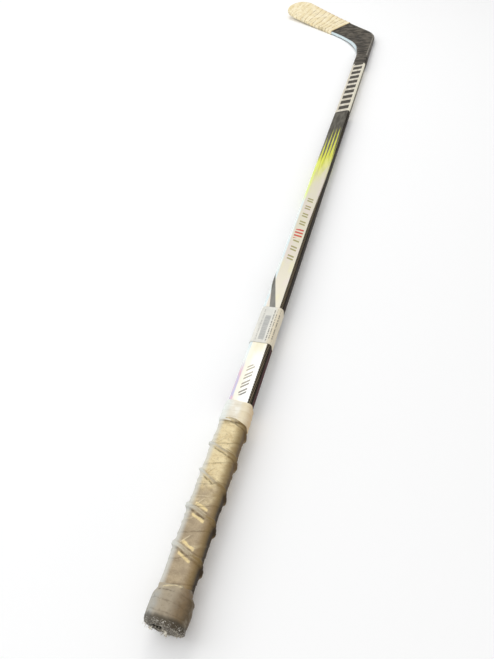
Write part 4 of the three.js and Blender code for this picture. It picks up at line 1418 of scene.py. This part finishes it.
def add_label(material):
    """A paper sticker over the wide face and down the right side, with slightly lifted edges."""
    rows = places(LABEL_START, LABEL_END, 70)
    distance = np.concatenate([
        np.linspace(1, FLAT_Z, 5)[:-1],
        FLAT_Z + np.linspace(0, QUARTER, 9)[:-1],
        FLAT_Z + QUARTER + np.linspace(0, 2 * FLAT_X, 26)[:-1],
        FLAT_Z + QUARTER + 2 * FLAT_X + np.linspace(0, QUARTER, 9)[:-1],
        FLAT_Z + 2 * QUARTER + 2 * FLAT_X + np.linspace(0, 2 * FLAT_Z, 12),
    ])
    y = np.broadcast_to(rows[:, None], (len(rows), len(distance)))
    base = around_shaft(rows, distance, 0.0)
    ends = np.exp(-(LABEL_END - y) / 1.6) + np.exp(-(y - LABEL_START) / 2.2)
    wrinkles = np.abs(relief(np.stack([base[..., 0], base[..., 1] * 0.35, base[..., 2]], -1), 7, 51))
    grow = 0.28 + 0.35 * ends * (0.5 + relief(base, 9, 53)) + 0.22 * wrinkles
    outside = around_shaft(rows, distance, np.maximum(grow, 0.2))
    inside = around_shaft(rows, distance, np.maximum(grow, 0.2) - 0.14)
    wavy = relief(base, 6, 55) * 0.25
    outside[..., 1] += wavy
    inside[..., 1] += wavy
    points, faces = closed_between(outside, inside, ring=False)
    s = np.broadcast_to(face_distance(distance), y.shape)
    paint = np.stack([s, y, 0 * y + 100], -1).reshape(-1, 3)
    add_piece(
        "paper_label", points, faces, material, ["price_label"],
        vectors={"paint": np.concatenate([paint, paint])},
    )


# ------------------------------------------------------------------ the CAD parts that stay


def dress_cad_parts():
    """Materials for the parts that keep their CAD shape: the edge strips, and all that is inside."""
    resin = make_resin()
    foam = make_hidden("core_foam", "#CFC7B0", "#E6E0CE", 1.6, 0.7)
    plastic = make_hidden("plug_plastic", "#191A1C", "#2A2B2E", 2.4, 0.4)
    inner_carbon = make_hidden("inner_carbon", "#332F2A", "#55503F", 2.0, 0.35)
    inner_cloth = make_hidden("inner_cloth", "#9C8A66", "#CDBD97", 2.2, 0.75)
    looks = {
        "sole_edge_strip": resin,
        "top_edge_strip": make_top_edge_reflection(),
        "heel_core": foam,
        "lower_core": foam,
        "upper_core": foam,
        "tenon_core": foam,
        "butt_plug": plastic,
        "tenon_shell": inner_carbon,
        "core_rib": inner_carbon,
        "knob_roll": inner_cloth,
    }
    for node, material in looks.items():
        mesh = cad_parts[node].data
        mesh.materials.clear()
        mesh.materials.append(material)


# ------------------------------------------------------------------ assembly

add_camera()
add_studio()
dress_cad_parts()
add_shaft(make_shaft_paint())
add_skins(make_carbon())
add_blade_tape(make_blade_cloth())
add_cord(make_hidden("cord_cotton", "#9C8A66", "#CDBD97", 2.2, 0.75))
add_grip(make_grip_cloth())
add_collar(make_collar_cloth())
knob_cloth = make_knob_cloth()
add_knob(knob_cloth)
add_end_patch(knob_cloth)
add_frays(make_thread())
add_label(make_label_paper())
